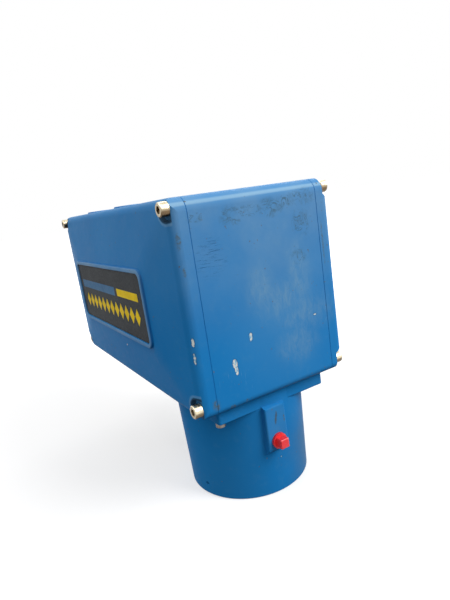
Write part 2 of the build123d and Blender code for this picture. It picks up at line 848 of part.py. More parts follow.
# Window, its seal and its ring
with BuildPart() as window_glass:
    with BuildSketch(Plane.XY.offset(window_z)):
        Circle(window_radius)
    extrude(amount=window_thickness)
window_glass.part.label = "window_glass"
export_step(window_glass.part, "parts/window_glass.step")

with BuildPart() as window_o_ring:
    with BuildSketch(Plane.XZ):
        with Locations((o_ring_radius, window_z + window_thickness + o_ring_section)):
            Circle(o_ring_section)
    revolve(axis=Axis.Z)
window_o_ring.part.label = "window_o_ring"
export_step(window_o_ring.part, "parts/window_o_ring.step")

with BuildPart() as window_ring:
    with BuildSketch(Plane.XY.offset(window_ring_recess)):
        Circle(window_bore_radius - fit_clearance)
        Circle(window_ring_inner_radius, mode=Mode.SUBTRACT)
    extrude(amount=window_ring_height)
    chamfer(window_ring.faces().sort_by(Axis.Z)[0].edges().sort_by(SortBy.LENGTH)[0], 1.0)
window_ring.part.label = "window_ring"
export_step(window_ring.part, "parts/window_ring.step")

with BuildPart() as window_set_screws:
    for x, y in ring_of(1, 3, set_screw_first_angle):
        seat = window_bore_radius - fit_clearance
        with BuildSketch(Plane(origin=(seat * x, seat * y, set_screw_z), z_dir=(x, y, 0))):
            Circle(set_screw_radius)
        extrude(amount=set_screw_length)
window_set_screws.part.label = "window_set_screws"
export_step(window_set_screws.part, "parts/window_set_screws.step")

# Spider with three legs in the top of the snout
with BuildPart() as optics_spider:
    with BuildSketch(Plane.XY.offset(spider_z)):
        Circle(spider_pocket_radius - fit_clearance)
        Circle(barrel_bore_radius, mode=Mode.SUBTRACT)
        with PolarLocations((spider_hub_radius + barrel_bore_radius) / 2, 3, start_angle=30):
            Rectangle(barrel_bore_radius - spider_hub_radius + spider_leg_width, spider_leg_width)
        Circle(spider_hub_radius)
        Circle(beam_bore_radius, mode=Mode.SUBTRACT)
        with Locations(*ring_of(spider_screw_circle_radius, 3, 90)):
            Circle(small_screw_radius, mode=Mode.SUBTRACT)
    extrude(amount=spider_thickness)
optics_spider.part.label = "optics_spider"
export_step(optics_spider.part, "parts/optics_spider.step")

with BuildPart() as spider_screws:
    add(screws(
        Plane.XY.offset(spider_z + spider_thickness), ring_of(spider_screw_circle_radius, 3, 90),
        small_head_radius, small_head_height, small_screw_radius, spider_thickness + small_screw_length,
    ))
spider_screws.part.label = "spider_screws"
export_step(spider_screws.part, "parts/spider_screws.step")

# Tube that carries the fold mirror over the window
with BuildPart() as beam_tube:
    with BuildSketch(Plane.XY.offset(spider_z + spider_thickness)):
        Circle(spider_hub_radius)
    extrude(amount=beam_tube_flange)
    with BuildSketch(Plane.XY.offset(spider_z + spider_thickness)):
        Circle(beam_tube_radius)
    extrude(amount=mirror_block_z - spider_z - spider_thickness)
    with BuildSketch(Plane.XY.offset(mirror_block_z)):
        Rectangle(mirror_block, mirror_block)
    extrude(amount=-beam_tube_flange)
    with BuildSketch(Plane.XY.offset(spider_z)):
        Circle(beam_bore_radius)
    extrude(amount=mirror_block_z - spider_z, mode=Mode.SUBTRACT)
beam_tube.part.label = "beam_tube"
export_step(beam_tube.part, "parts/beam_tube.step")

# Block with a sloping face for the fold mirror, between two cheeks
mirror_slope = Plane(origin=(0, 0, beam_z), x_dir=(0, 1, 0), z_dir=(1, 0, 1))
with BuildPart() as fold_mirror_mount:
    with BuildSketch(Plane.XY.offset(mirror_block_z)):
        Rectangle(mirror_block, mirror_block)
    extrude(amount=mirror_block)
    with BuildSketch(mirror_slope.offset(fold_mirror_thickness)):
        Rectangle(mirror_block - 2 * mirror_cheek, 2 * mirror_block)
    extrude(amount=-mirror_block, mode=Mode.SUBTRACT)
fold_mirror_mount.part.label = "fold_mirror_mount"
export_step(fold_mirror_mount.part, "parts/fold_mirror_mount.step")

with BuildPart() as fold_mirror:
    with BuildSketch(mirror_slope):
        Rectangle(mirror_block - 2 * mirror_cheek - 2 * fit_clearance, fold_mirror_length)
    extrude(amount=fold_mirror_thickness)
fold_mirror.part.label = "fold_mirror"
export_step(fold_mirror.part, "parts/fold_mirror.step")

# Detector cup on the block, with its board, can and cap
detector_floor = mirror_block_top + beam_tube_flange
with BuildPart() as detector_housing:
    with BuildSketch(Plane.XY.offset(mirror_block_top)):
        Circle(detector_outer_radius)
    extrude(amount=detector_height)
    with BuildSketch(Plane.XY.offset(detector_floor)):
        Circle(detector_bore_radius - detector_ledge)
    extrude(amount=detector_height, mode=Mode.SUBTRACT)
    with BuildSketch(Plane.XY.offset(detector_floor + detector_ledge)):
        Circle(detector_bore_radius)
    extrude(amount=detector_height, mode=Mode.SUBTRACT)
detector_housing.part.label = "detector_housing"
export_step(detector_housing.part, "parts/detector_housing.step")

with BuildPart() as detector_board:
    with BuildSketch(Plane.XY.offset(detector_floor + detector_ledge)):
        Circle(detector_bore_radius - fit_clearance)
    extrude(amount=detector_board_thickness)
detector_board.part.label = "detector_board"
export_step(detector_board.part, "parts/detector_board.step")

detector_seat = detector_floor + detector_ledge + detector_board_thickness
with BuildPart() as detector_can:
    with BuildSketch(Plane.XY.offset(detector_seat)):
        Circle(detector_can_radius)
    extrude(amount=1)
    with BuildSketch(Plane.XY.offset(detector_seat)):
        Circle(detector_can_radius - 1)
    extrude(amount=detector_can_height)
    chamfer(detector_can.faces().sort_by(Axis.Z)[-1].edges(), 0.6)
detector_can.part.label = "detector_can"
export_step(detector_can.part, "parts/detector_can.step")

with BuildPart() as detector_cap:
    with BuildSketch(Plane.XY.offset(mirror_block_top + detector_height)):
        Circle(detector_outer_radius)
        Circle(detector_aperture_radius, mode=Mode.SUBTRACT)
    extrude(amount=detector_cap_height)
    chamfer(detector_cap.faces().sort_by(Axis.Z)[-1].edges(), 0.8)
detector_cap.part.label = "detector_cap"
export_step(detector_cap.part, "parts/detector_cap.step")

# Mirror cell under the roof, its mirror, ring and screws
with BuildPart() as mirror_cell:
    with BuildSketch(Plane.XY.offset(cell_bottom)):
        Circle(cell_radius)
    extrude(amount=cell_top - cell_bottom)
    with BuildSketch(Plane.XY.offset(cell_bottom)):
        Circle(mirror_radius + fit_clearance)
    extrude(amount=mirror_back - cell_bottom, mode=Mode.SUBTRACT)
    with BuildSketch(Plane.XY.offset(mirror_back)):
        with Locations(*ring_of(cell_screw_circle_radius, 3)):
            Circle(cell_screw_head_radius)
    extrude(amount=cell_roof, taper=45, mode=Mode.SUBTRACT)
    with BuildSketch(Plane.XY.offset(mirror_back)):
        with Locations(*ring_of(cell_screw_circle_radius, 3)):
            Circle(cell_screw_radius)
    extrude(amount=cell_roof, mode=Mode.SUBTRACT)
    chamfer(mirror_cell.faces().sort_by(Axis.Z)[-1].outer_wire().edges(), 1.0)
mirror_cell.part.label = "mirror_cell"
export_step(mirror_cell.part, "parts/mirror_cell.step")

with BuildPart() as collecting_mirror:
    with BuildSketch(Plane.XY.offset(mirror_rim_z)):
        Circle(mirror_radius)
    extrude(amount=mirror_thickness)
    drop = sqrt(mirror_curvature**2 - (mirror_radius - mirror_land) ** 2)
    with Locations((0, 0, mirror_rim_z - drop)):
        Sphere(mirror_curvature, mode=Mode.SUBTRACT)
collecting_mirror.part.label = "collecting_mirror"
export_step(collecting_mirror.part, "parts/collecting_mirror.step")

with BuildPart() as mirror_retaining_ring:
    with BuildSketch(Plane.XY.offset(cell_bottom)):
        Circle(mirror_radius)
        Circle(mirror_ring_inner_radius, mode=Mode.SUBTRACT)
    extrude(amount=mirror_ring_height)
mirror_retaining_ring.part.label = "mirror_retaining_ring"
export_step(mirror_retaining_ring.part, "parts/mirror_retaining_ring.step")

with BuildPart() as mirror_cell_screws:
    with BuildSketch(Plane.XY.offset(mirror_back)):
        with Locations(*ring_of(cell_screw_circle_radius, 3)):
            Circle(cell_screw_radius)
    extrude(amount=cell_screw_length)
    with BuildSketch(Plane.XY.offset(mirror_back)):
        with Locations(*ring_of(cell_screw_circle_radius, 3)):
            Circle(cell_screw_head_radius)
    extrude(amount=cell_screw_head_radius - cell_screw_radius, taper=45)
mirror_cell_screws.part.label = "mirror_cell_screws"
export_step(mirror_cell_screws.part, "parts/mirror_cell_screws.step")

# Chassis: one bent sheet on the floor bosses, with an upright wall for the board
upright_x = [lamp_bracket_x - bracket_sheet, condenser_x, bracket_x, collimator_x]
board_mid_x = board_x + board_length / 2
board_mid_z = board_z + board_height / 2
board_screw_x = board_length / 2 - board_margin
board_screw_z = board_height / 2 - board_margin
board_spots = [
    (board_mid_x + i * board_screw_x, board_mid_z + k * board_screw_z) for i in (-1, 1) for k in (-1, 1)
]
sensor_y = -(wheel_radius + sensor_wall_gap)
sensor_x = wheel_x + wheel_thickness / 2
sensor_screw = (sensor_x, sensor_y + bracket_foot / 2)
all_foot_screws = [spot for x in upright_x for spot in foot_screw_spots(x)] + [sensor_screw]
with BuildPart() as chassis:
    with BuildSketch(Plane.YZ.offset(chassis_start)):
        with BuildLine():
            Polyline(
                (chassis_edge_y, chassis_z), (chassis_wall_y + sheet, chassis_z),
                (chassis_wall_y + sheet, chassis_z + chassis_wall_height),
                (chassis_wall_y, chassis_z + chassis_wall_height), (chassis_wall_y, plate_z),
                (chassis_edge_y, plate_z), close=True,
            )
        make_face()
    extrude(amount=chassis_length)
    bend = chassis.edges().filter_by(Axis.X).sort_by_distance((mid_x, chassis_wall_y + sheet, chassis_z))[0]
    fillet(bend, sheet)
    with BuildSketch(Plane.XY.offset(chassis_z)):
        with Locations(*chassis_corners):
            Circle(chassis_screw_radius)
        with Locations(*all_foot_screws):
            Circle(small_screw_radius)
    extrude(amount=sheet, mode=Mode.SUBTRACT)
    with BuildSketch(Plane.XZ.offset(-chassis_wall_y)):
        with Locations(*board_spots):
            Circle(small_screw_radius)
    extrude(amount=-sheet, mode=Mode.SUBTRACT)
chassis.part.label = "chassis"
export_step(chassis.part, "parts/chassis.step")

with BuildPart() as chassis_screws:
    add(screws(
        Plane.XY.offset(plate_z), chassis_corners, chassis_screw_head_radius, small_head_height,
        chassis_screw_radius, sheet + chassis_lift + wall / 2,
    ))
chassis_screws.part.label = "chassis_screws"
export_step(chassis_screws.part, "parts/chassis_screws.step")

with BuildPart() as bracket_screws:
    add(screws(
        Plane.XY.offset(plate_z + bracket_sheet), all_foot_screws, small_head_radius, small_head_height,
        small_screw_radius, bracket_sheet + sheet + 1,
    ))
bracket_screws.part.label = "bracket_screws"
export_step(bracket_screws.part, "parts/bracket_screws.step")

# Lamp with its socket, reflector and bracket
with BuildPart() as lamp_bracket:
    add(bracket(lamp_bracket_x - bracket_sheet, bracket_sheet, lamp_bracket_height,
                [(0, beam_z, socket_radius)]))
lamp_bracket.part.label = "lamp_bracket"
export_step(lamp_bracket.part, "parts/lamp_bracket.step")

collar_x = lamp_bracket_x + socket_collar_height
with BuildPart() as lamp_socket:
    with BuildSketch(Plane.YZ.offset(lamp_bracket_x)):
        with Locations((0, beam_z)):
            Circle(socket_collar_radius)
    extrude(amount=socket_collar_height)
    with BuildSketch(Plane.YZ.offset(lamp_bracket_x)):
        with Locations((0, beam_z)):
            Circle(socket_radius)
    extrude(amount=-socket_length)
    with BuildSketch(Plane.YZ.offset(collar_x)):
        with Locations((-bulb_pin_spacing / 2, beam_z), (bulb_pin_spacing / 2, beam_z)):
            Circle(bulb_pin_radius)
    extrude(amount=-bulb_pin_length, mode=Mode.SUBTRACT)
lamp_socket.part.label = "lamp_socket"
export_step(lamp_socket.part, "parts/lamp_socket.step")

with BuildPart() as lamp_bulb:
    with BuildSketch(Plane.YZ.offset(collar_x)):
        with Locations((0, beam_z)):
            Circle(bulb_radius)
    extrude(amount=bulb_length)
    fillet(lamp_bulb.faces().sort_by(Axis.X)[-1].edges(), bulb_radius - 1)
    with BuildSketch(Plane.YZ.offset(collar_x)):
        with Locations((-bulb_pin_spacing / 2, beam_z), (bulb_pin_spacing / 2, beam_z)):
            Circle(bulb_pin_radius)
    extrude(amount=-bulb_pin_length)
lamp_bulb.part.label = "lamp_bulb"
export_step(lamp_bulb.part, "parts/lamp_bulb.step")

with BuildPart() as lamp_reflector:
    neck = bulb_radius + reflector_sheet
    mouth = reflector_mouth_radius
    with BuildSketch(Plane.XZ):
        with BuildLine():
            bowl = RadiusArc(
                (collar_x, beam_z + neck), (collar_x + reflector_depth, beam_z + mouth), 2 * mouth
            )
            Line(bowl @ 1, (collar_x + reflector_depth, beam_z + mouth + reflector_sheet))
            back = RadiusArc(
                (collar_x, beam_z + neck + 2 * reflector_sheet),
                (collar_x + reflector_depth, beam_z + mouth + reflector_sheet), 2 * mouth
            )
            Line(bowl @ 0, back @ 0)
        make_face()
    revolve(axis=Axis((0, 0, beam_z), (1, 0, 0)))
lamp_reflector.part.label = "lamp_reflector"
export_step(lamp_reflector.part, "parts/lamp_reflector.step")

# The two lenses on the beam
with BuildPart() as condenser_holder:
    add(lens_holder(condenser_x, condenser_radius))
condenser_holder.part.label = "condenser_holder"
export_step(condenser_holder.part, "parts/condenser_holder.step")

with BuildPart() as condenser_lens:
    add(lens(condenser_x, condenser_radius, condenser_crown))
condenser_lens.part.label = "condenser_lens"
export_step(condenser_lens.part, "parts/condenser_lens.step")

with BuildPart() as collimator_holder:
    add(lens_holder(collimator_x, collimator_radius))
collimator_holder.part.label = "collimator_holder"
export_step(collimator_holder.part, "parts/collimator_holder.step")

with BuildPart() as collimator_lens:
    add(lens(collimator_x, collimator_radius, collimator_crown))
collimator_lens.part.label = "collimator_lens"
export_step(collimator_lens.part, "parts/collimator_lens.step")

# Filter wheel, its filters, hub and screws
filter_spots = [(y, wheel_z + z) for y, z in ring_of(filter_circle_radius, filter_count, -90)]
hub_spots = [(y, wheel_z + z) for y, z in ring_of(hub_screw_circle_radius, 3, 90)]
with BuildPart() as filter_wheel:
    with BuildSketch(Plane.YZ.offset(wheel_x)):
        with Locations((0, wheel_z)):
            Circle(wheel_radius)
            Circle(shaft_radius, mode=Mode.SUBTRACT)
        with Locations(*filter_spots):
            Circle(filter_bore_radius, mode=Mode.SUBTRACT)
        with Locations(*hub_spots):
            Circle(hub_screw_radius, mode=Mode.SUBTRACT)
        with Locations((0, wheel_z + wheel_radius - sync_slot_depth / 2)):
            Rectangle(sync_slot_width, sync_slot_depth, mode=Mode.SUBTRACT)
    extrude(amount=wheel_thickness)
    with BuildSketch(Plane.YZ.offset(wheel_x)):
        with Locations(*filter_spots):
            Circle(filter_radius + fit_clearance)
    extrude(amount=filter_thickness, mode=Mode.SUBTRACT)
filter_wheel.part.label = "filter_wheel"
export_step(filter_wheel.part, "parts/filter_wheel.step")

with BuildPart() as optical_filters:
    with BuildSketch(Plane.YZ.offset(wheel_x)):
        with Locations(*filter_spots):
            Circle(filter_radius)
    extrude(amount=filter_thickness)
optical_filters.part.label = "optical_filters"
export_step(optical_filters.part, "parts/optical_filters.step")

with BuildPart() as wheel_hub:
    with BuildSketch(Plane.YZ.offset(hub_face)):
        with Locations((0, wheel_z)):
            Circle(hub_flange_radius)
        with Locations(*hub_spots):
            Circle(hub_screw_radius, mode=Mode.SUBTRACT)
    extrude(amount=hub_flange)
    with BuildSketch(Plane.YZ.offset(wheel_x - hub_length)):
        with Locations((0, wheel_z)):
            Circle(hub_radius)
    extrude(amount=hub_length)
    with BuildSketch(Plane.YZ.offset(wheel_x - hub_length)):
        with Locations((0, wheel_z)):
            Circle(shaft_radius)
    extrude(amount=hub_length, mode=Mode.SUBTRACT)
wheel_hub.part.label = "wheel_hub"
export_step(wheel_hub.part, "parts/wheel_hub.step")

with BuildPart() as hub_screws:
    add(screws(
        rear_plane(hub_face), [(-y, z) for y, z in hub_spots], hub_screw_head_radius,
        hub_screw_head_height, hub_screw_radius, hub_flange + wheel_thickness,
    ))
hub_screws.part.label = "hub_screws"
export_step(hub_screws.part, "parts/hub_screws.step")

# Motor: can, rotor on its shaft, two bearings, bracket and screws
cavity_start = motor_x + motor_end_wall
cavity_end = motor_x + motor_length - motor_end_wall - bearing_width / 2
rotor_start = cavity_start + rotor_end_gap
rotor_end = cavity_end - rotor_end_gap
front_bearing_x = cavity_start - bearing_width
rear_bearing_x = cavity_end
with BuildPart() as motor_body:
    with BuildSketch(Plane.YZ.offset(motor_x)):
        with Locations((0, wheel_z)):
            Circle(motor_radius)
    extrude(amount=motor_length)
    chamfer(motor_body.edges().filter_by(GeomType.CIRCLE), 0.8)
    with BuildSketch(Plane.YZ.offset(motor_x)):
        with Locations((0, wheel_z)):
            Circle(pilot_radius)
    extrude(amount=-bracket_sheet)
    with BuildSketch(Plane.YZ.offset(cavity_start)):
        with Locations((0, wheel_z)):
            Circle(rotor_radius + rotor_gap)
    extrude(amount=cavity_end - cavity_start, mode=Mode.SUBTRACT)
    with BuildSketch(Plane.YZ.offset(front_bearing_x)):
        with Locations((0, wheel_z)):
            Circle(bearing_radius)
    extrude(amount=cavity_end - front_bearing_x + bearing_width, mode=Mode.SUBTRACT)
    with BuildSketch(Plane.YZ.offset(bracket_x)):
        with Locations((0, wheel_z)):
            Circle(shaft_hole_radius)
    extrude(amount=motor_end_wall, mode=Mode.SUBTRACT)
    with BuildSketch(Plane.YZ.offset(motor_x)):
        with Locations((0, wheel_z)):
            with PolarLocations(motor_screw_circle_radius, 4, start_angle=45):
                Circle(small_screw_radius)
    extrude(amount=2 * motor_end_wall, mode=Mode.SUBTRACT)
motor_body.part.label = "motor_body"
export_step(motor_body.part, "parts/motor_body.step")

with BuildPart() as motor_rotor:
    with BuildSketch(Plane.YZ.offset(wheel_x - hub_length)):
        with Locations((0, wheel_z)):
            Circle(shaft_radius)
    extrude(amount=rear_bearing_x + bearing_width - rotor_gap - wheel_x + hub_length)
    with BuildSketch(Plane.YZ.offset(rotor_start)):
        with Locations((0, wheel_z)):
            Circle(rotor_radius)
    extrude(amount=rotor_end - rotor_start)
motor_rotor.part.label = "motor_rotor"
export_step(motor_rotor.part, "parts/motor_rotor.step")

with BuildPart() as motor_bearings:
    for x in (front_bearing_x, rear_bearing_x):
        with BuildSketch(Plane.YZ.offset(x)):
            with Locations((0, wheel_z)):
                Circle(bearing_radius)
                Circle(shaft_radius + running_clearance, mode=Mode.SUBTRACT)
        extrude(amount=bearing_width)
motor_bearings.part.label = "motor_bearings"
export_step(motor_bearings.part, "parts/motor_bearings.step")

motor_screw_spots = [(y, wheel_z + z) for y, z in ring_of(motor_screw_circle_radius, 4, 45)]
with BuildPart() as motor_bracket:
    add(bracket(
        bracket_x, bracket_sheet, wheel_z - plate_z + motor_bracket_top,
        [(0, wheel_z, pilot_radius), (0, beam_z, beam_bore_radius)]
        + [(y, z, small_screw_radius) for y, z in motor_screw_spots],
    ))
motor_bracket.part.label = "motor_bracket"
export_step(motor_bracket.part, "parts/motor_bracket.step")

with BuildPart() as motor_screws:
    add(screws(
        rear_plane(bracket_x), [(-y, z) for y, z in motor_screw_spots], small_head_radius,
        small_head_height, small_screw_radius, bracket_sheet + 2 * motor_end_wall,
    ))
motor_screws.part.label = "motor_screws"
export_step(motor_screws.part, "parts/motor_screws.step")

# Fork sensor that reads the slot in the wheel's rim, on its own bracket
with BuildPart() as sensor_bracket:
    with BuildSketch(Plane.XY.offset(plate_z)):
        with Locations((sensor_x, sensor_y - bracket_sheet / 2)):
            Rectangle(sensor_width, bracket_sheet)
    extrude(amount=wheel_z + sensor_height - plate_z)
    with BuildSketch(Plane.XY.offset(plate_z)):
        with Locations((sensor_x, sensor_y + bracket_foot / 2)):
            Rectangle(sensor_width, bracket_foot)
            Circle(small_screw_radius, mode=Mode.SUBTRACT)
    extrude(amount=bracket_sheet)
sensor_bracket.part.label = "sensor_bracket"
export_step(sensor_bracket.part, "parts/sensor_bracket.step")

with BuildPart() as position_sensor:
    with BuildSketch(Plane.XZ.offset(-sensor_y)):
        with Locations((sensor_x, wheel_z)):
            Rectangle(sensor_width, sensor_height)
    extrude(amount=-sensor_depth)
    with BuildSketch(Plane.XZ.offset(-sensor_y - sensor_depth)):
        with Locations((sensor_x, wheel_z)):
            Rectangle(wheel_thickness + 2 * sensor_slot_gap, sensor_height)
    extrude(amount=sensor_grip + sensor_slot_gap, mode=Mode.SUBTRACT)
position_sensor.part.label = "position_sensor"
export_step(position_sensor.part, "parts/position_sensor.step")

# Mains transformer in the corner of the chassis: core, coil bobbin and feet in one moulding
with BuildPart() as power_transformer:
    with BuildSketch(Plane.XY.offset(plate_z)):
        with Locations((transformer_x + transformer_length / 2, chassis_wall_y - transformer_depth / 2)):
            Rectangle(transformer_length, transformer_depth)
    extrude(amount=transformer_height)
    chamfer(power_transformer.edges().filter_by(Axis.Z), 1.0)
    with BuildSketch(Plane.XZ.offset(transformer_depth - chassis_wall_y)):
        with Locations((transformer_x + transformer_length / 2, plate_z + transformer_height / 2)):
            RectangleRounded(0.6 * transformer_length, 0.6 * transformer_height, 2.0)
    extrude(amount=transformer_coil_rise)
power_transformer.part.label = "power_transformer"
export_step(power_transformer.part, "parts/power_transformer.step")

# Control board on four standoffs outside the chassis wall
board_face = -(chassis_wall_y + sheet + standoff_length)
with BuildPart() as board_standoffs:
    with BuildSketch(Plane.XZ.offset(board_face)):
        with Locations(*board_spots):
            Circle(standoff_radius)
            Circle(small_screw_radius, mode=Mode.SUBTRACT)
    extrude(amount=standoff_length)
board_standoffs.part.label = "board_standoffs"
export_step(board_standoffs.part, "parts/board_standoffs.step")

with BuildPart() as control_board:
    with BuildSketch(Plane.XZ.offset(board_face)):
        with Locations((board_mid_x, board_mid_z)):
            Rectangle(board_length, board_height)
        with Locations(*board_spots):
            Circle(small_screw_radius, mode=Mode.SUBTRACT)
    extrude(amount=-board_thickness)
    # chips, capacitors and terminal strips soldered to it
    for group, height in ((chips, chip_height), (terminals, terminal_height)):
        with BuildSketch(Plane.XZ.offset(board_face - board_thickness)):
            for along, up, wide, tall in group:
                with Locations((board_mid_x + along * board_length, board_mid_z + up * board_height)):
                    Rectangle(wide * board_length, tall * board_height)
        extrude(amount=-height)
control_board.part.label = "control_board"
export_step(control_board.part, "parts/control_board.step")

outward = Plane(origin=(0, -board_face + board_thickness, 0), x_dir=(-1, 0, 0), z_dir=(0, 1, 0))
with BuildPart() as board_screws:
    add(screws(
        outward, [(-x, z) for x, z in board_spots], small_head_radius, small_head_height,
        small_screw_radius, board_thickness + standoff_length + sheet,
    ))
board_screws.part.label = "board_screws"
export_step(board_screws.part, "parts/board_screws.step")

# Two receptacles in the far end wall
with BuildPart() as power_receptacle:
    add(receptacle(-receptacle_y))
power_receptacle.part.label = "power_receptacle"
export_step(power_receptacle.part, "parts/power_receptacle.step")

with BuildPart() as signal_receptacle:
    add(receptacle(receptacle_y))
signal_receptacle.part.label = "signal_receptacle"
export_step(signal_receptacle.part, "parts/signal_receptacle.step")

receptacle_seat = far_x - receptacle_gasket_thickness
insert_start = receptacle_seat + receptacle_inner_length
insert_face = receptacle_seat - receptacle_flange_thickness - receptacle_reach + insert_face_drop
with BuildPart() as receptacle_inserts:
    for y, count in ((-receptacle_y, 3), (receptacle_y, 7)):
        with BuildSketch(rear_plane(insert_start)):
            with Locations((-y, receptacle_z)):
                Circle(receptacle_bore_radius)
        extrude(amount=insert_start - insert_face)
        with BuildSketch(rear_plane(insert_face)):
            with Locations((-y, receptacle_z)):
                with PolarLocations(receptacle_bore_radius / 2, count, start_angle=90):
                    Circle(contact_radius)
        extrude(amount=contact_length)
receptacle_inserts.part.label = "receptacle_inserts"
export_step(receptacle_inserts.part, "parts/receptacle_inserts.step")

with BuildPart() as receptacle_gaskets:
    for y in (-receptacle_y, receptacle_y):
        with BuildSketch(rear_plane(far_x)):
            with Locations((-y, receptacle_z)):
                RectangleRounded(receptacle_flange, receptacle_flange, receptacle_flange_corner)
                Circle(receptacle_body_radius + fit_clearance, mode=Mode.SUBTRACT)
                with GridLocations(2 * receptacle_screw_offset, 2 * receptacle_screw_offset, 2, 2):
                    Circle(small_screw_radius, mode=Mode.SUBTRACT)
        extrude(amount=receptacle_gasket_thickness)
receptacle_gaskets.part.label = "receptacle_gaskets"
export_step(receptacle_gaskets.part, "parts/receptacle_gaskets.step")

receptacle_screw_spots = [
    (y + i * receptacle_screw_offset, receptacle_z + k * receptacle_screw_offset)
    for y in (-receptacle_y, receptacle_y)
    for i in (-1, 1)
    for k in (-1, 1)
]
with BuildPart() as receptacle_screws:
    add(screws(
        rear_plane(receptacle_seat - receptacle_flange_thickness),
        receptacle_screw_spots, small_head_radius, small_head_height, small_screw_radius,
        receptacle_flange_thickness + receptacle_gasket_thickness + wall,
    ))
receptacle_screws.part.label = "receptacle_screws"
export_step(receptacle_screws.part, "parts/receptacle_screws.step")
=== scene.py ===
import bmesh
import bpy
from mathutils import Matrix, Vector
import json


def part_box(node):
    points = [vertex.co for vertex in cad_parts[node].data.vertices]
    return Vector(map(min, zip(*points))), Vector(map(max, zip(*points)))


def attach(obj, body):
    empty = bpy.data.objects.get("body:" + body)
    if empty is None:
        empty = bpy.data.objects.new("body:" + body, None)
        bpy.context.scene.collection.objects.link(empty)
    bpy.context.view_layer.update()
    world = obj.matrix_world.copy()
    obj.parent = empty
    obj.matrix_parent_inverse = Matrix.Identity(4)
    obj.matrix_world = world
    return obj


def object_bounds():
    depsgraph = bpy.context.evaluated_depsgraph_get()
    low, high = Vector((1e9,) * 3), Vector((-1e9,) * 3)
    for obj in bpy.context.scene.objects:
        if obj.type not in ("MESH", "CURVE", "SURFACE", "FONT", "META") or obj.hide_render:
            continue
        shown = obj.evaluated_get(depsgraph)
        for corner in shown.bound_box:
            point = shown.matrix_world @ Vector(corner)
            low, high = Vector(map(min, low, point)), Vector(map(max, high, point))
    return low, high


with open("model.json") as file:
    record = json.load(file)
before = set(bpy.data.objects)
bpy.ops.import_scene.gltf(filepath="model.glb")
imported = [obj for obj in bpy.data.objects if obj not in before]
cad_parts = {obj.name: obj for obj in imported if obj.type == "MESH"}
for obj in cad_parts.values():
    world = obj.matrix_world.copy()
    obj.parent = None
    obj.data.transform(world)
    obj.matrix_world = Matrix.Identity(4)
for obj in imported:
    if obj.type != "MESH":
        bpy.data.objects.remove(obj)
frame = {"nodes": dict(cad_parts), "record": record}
cad_low, cad_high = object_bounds()
MM = 0.001

# Camera, worked out from the photograph's frame of 450 x 600 pixels
FOCAL_PIXELS = 462.66
FRAME_LONG_SIDE = 600
SENSOR = 36.0
CAMERA_PLACE = Vector((325.79, -184.85, 230.72)) * MM
CAMERA_TURN = Vector((1.67492, 0.81802, -0.85434))

# Faces of the snout-side end and of the housing's underside, and the cover screws and label
NEAR_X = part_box("housing_body")[1].x
JOINT_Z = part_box("housing_body")[0].z
SCREWS_LOW, SCREWS_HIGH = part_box("left_cover_screws")
SCREW_HEAD = 4.7625 * MM
COVER_SCREWS = [
    (x, z)
    for x in (SCREWS_LOW.x + SCREW_HEAD, SCREWS_HIGH.x - SCREW_HEAD)
    for z in (SCREWS_LOW.z + SCREW_HEAD, SCREWS_HIGH.z - SCREW_HEAD)
]
LABEL_LOW, LABEL_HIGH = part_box("label_plate")
LABEL_FACE = LABEL_LOW.y
PLATEAU_Y = LABEL_HIGH.y
# Face of the pad that the plug is in, and depth at which the screw pockets start
PLUG_PAD_X = 55.5 * MM
POCKET_Y = 63.7 * MM


def srgb(red, green, blue):
    """A display colour, 0 to 255, as the linear colour that a shader takes."""
    values = [c / 255 for c in (red, green, blue)]
    linear = [c / 12.92 if c <= 0.04045 else ((c + 0.055) / 1.055) ** 2.4 for c in values]
    return (*linear, 1.0)


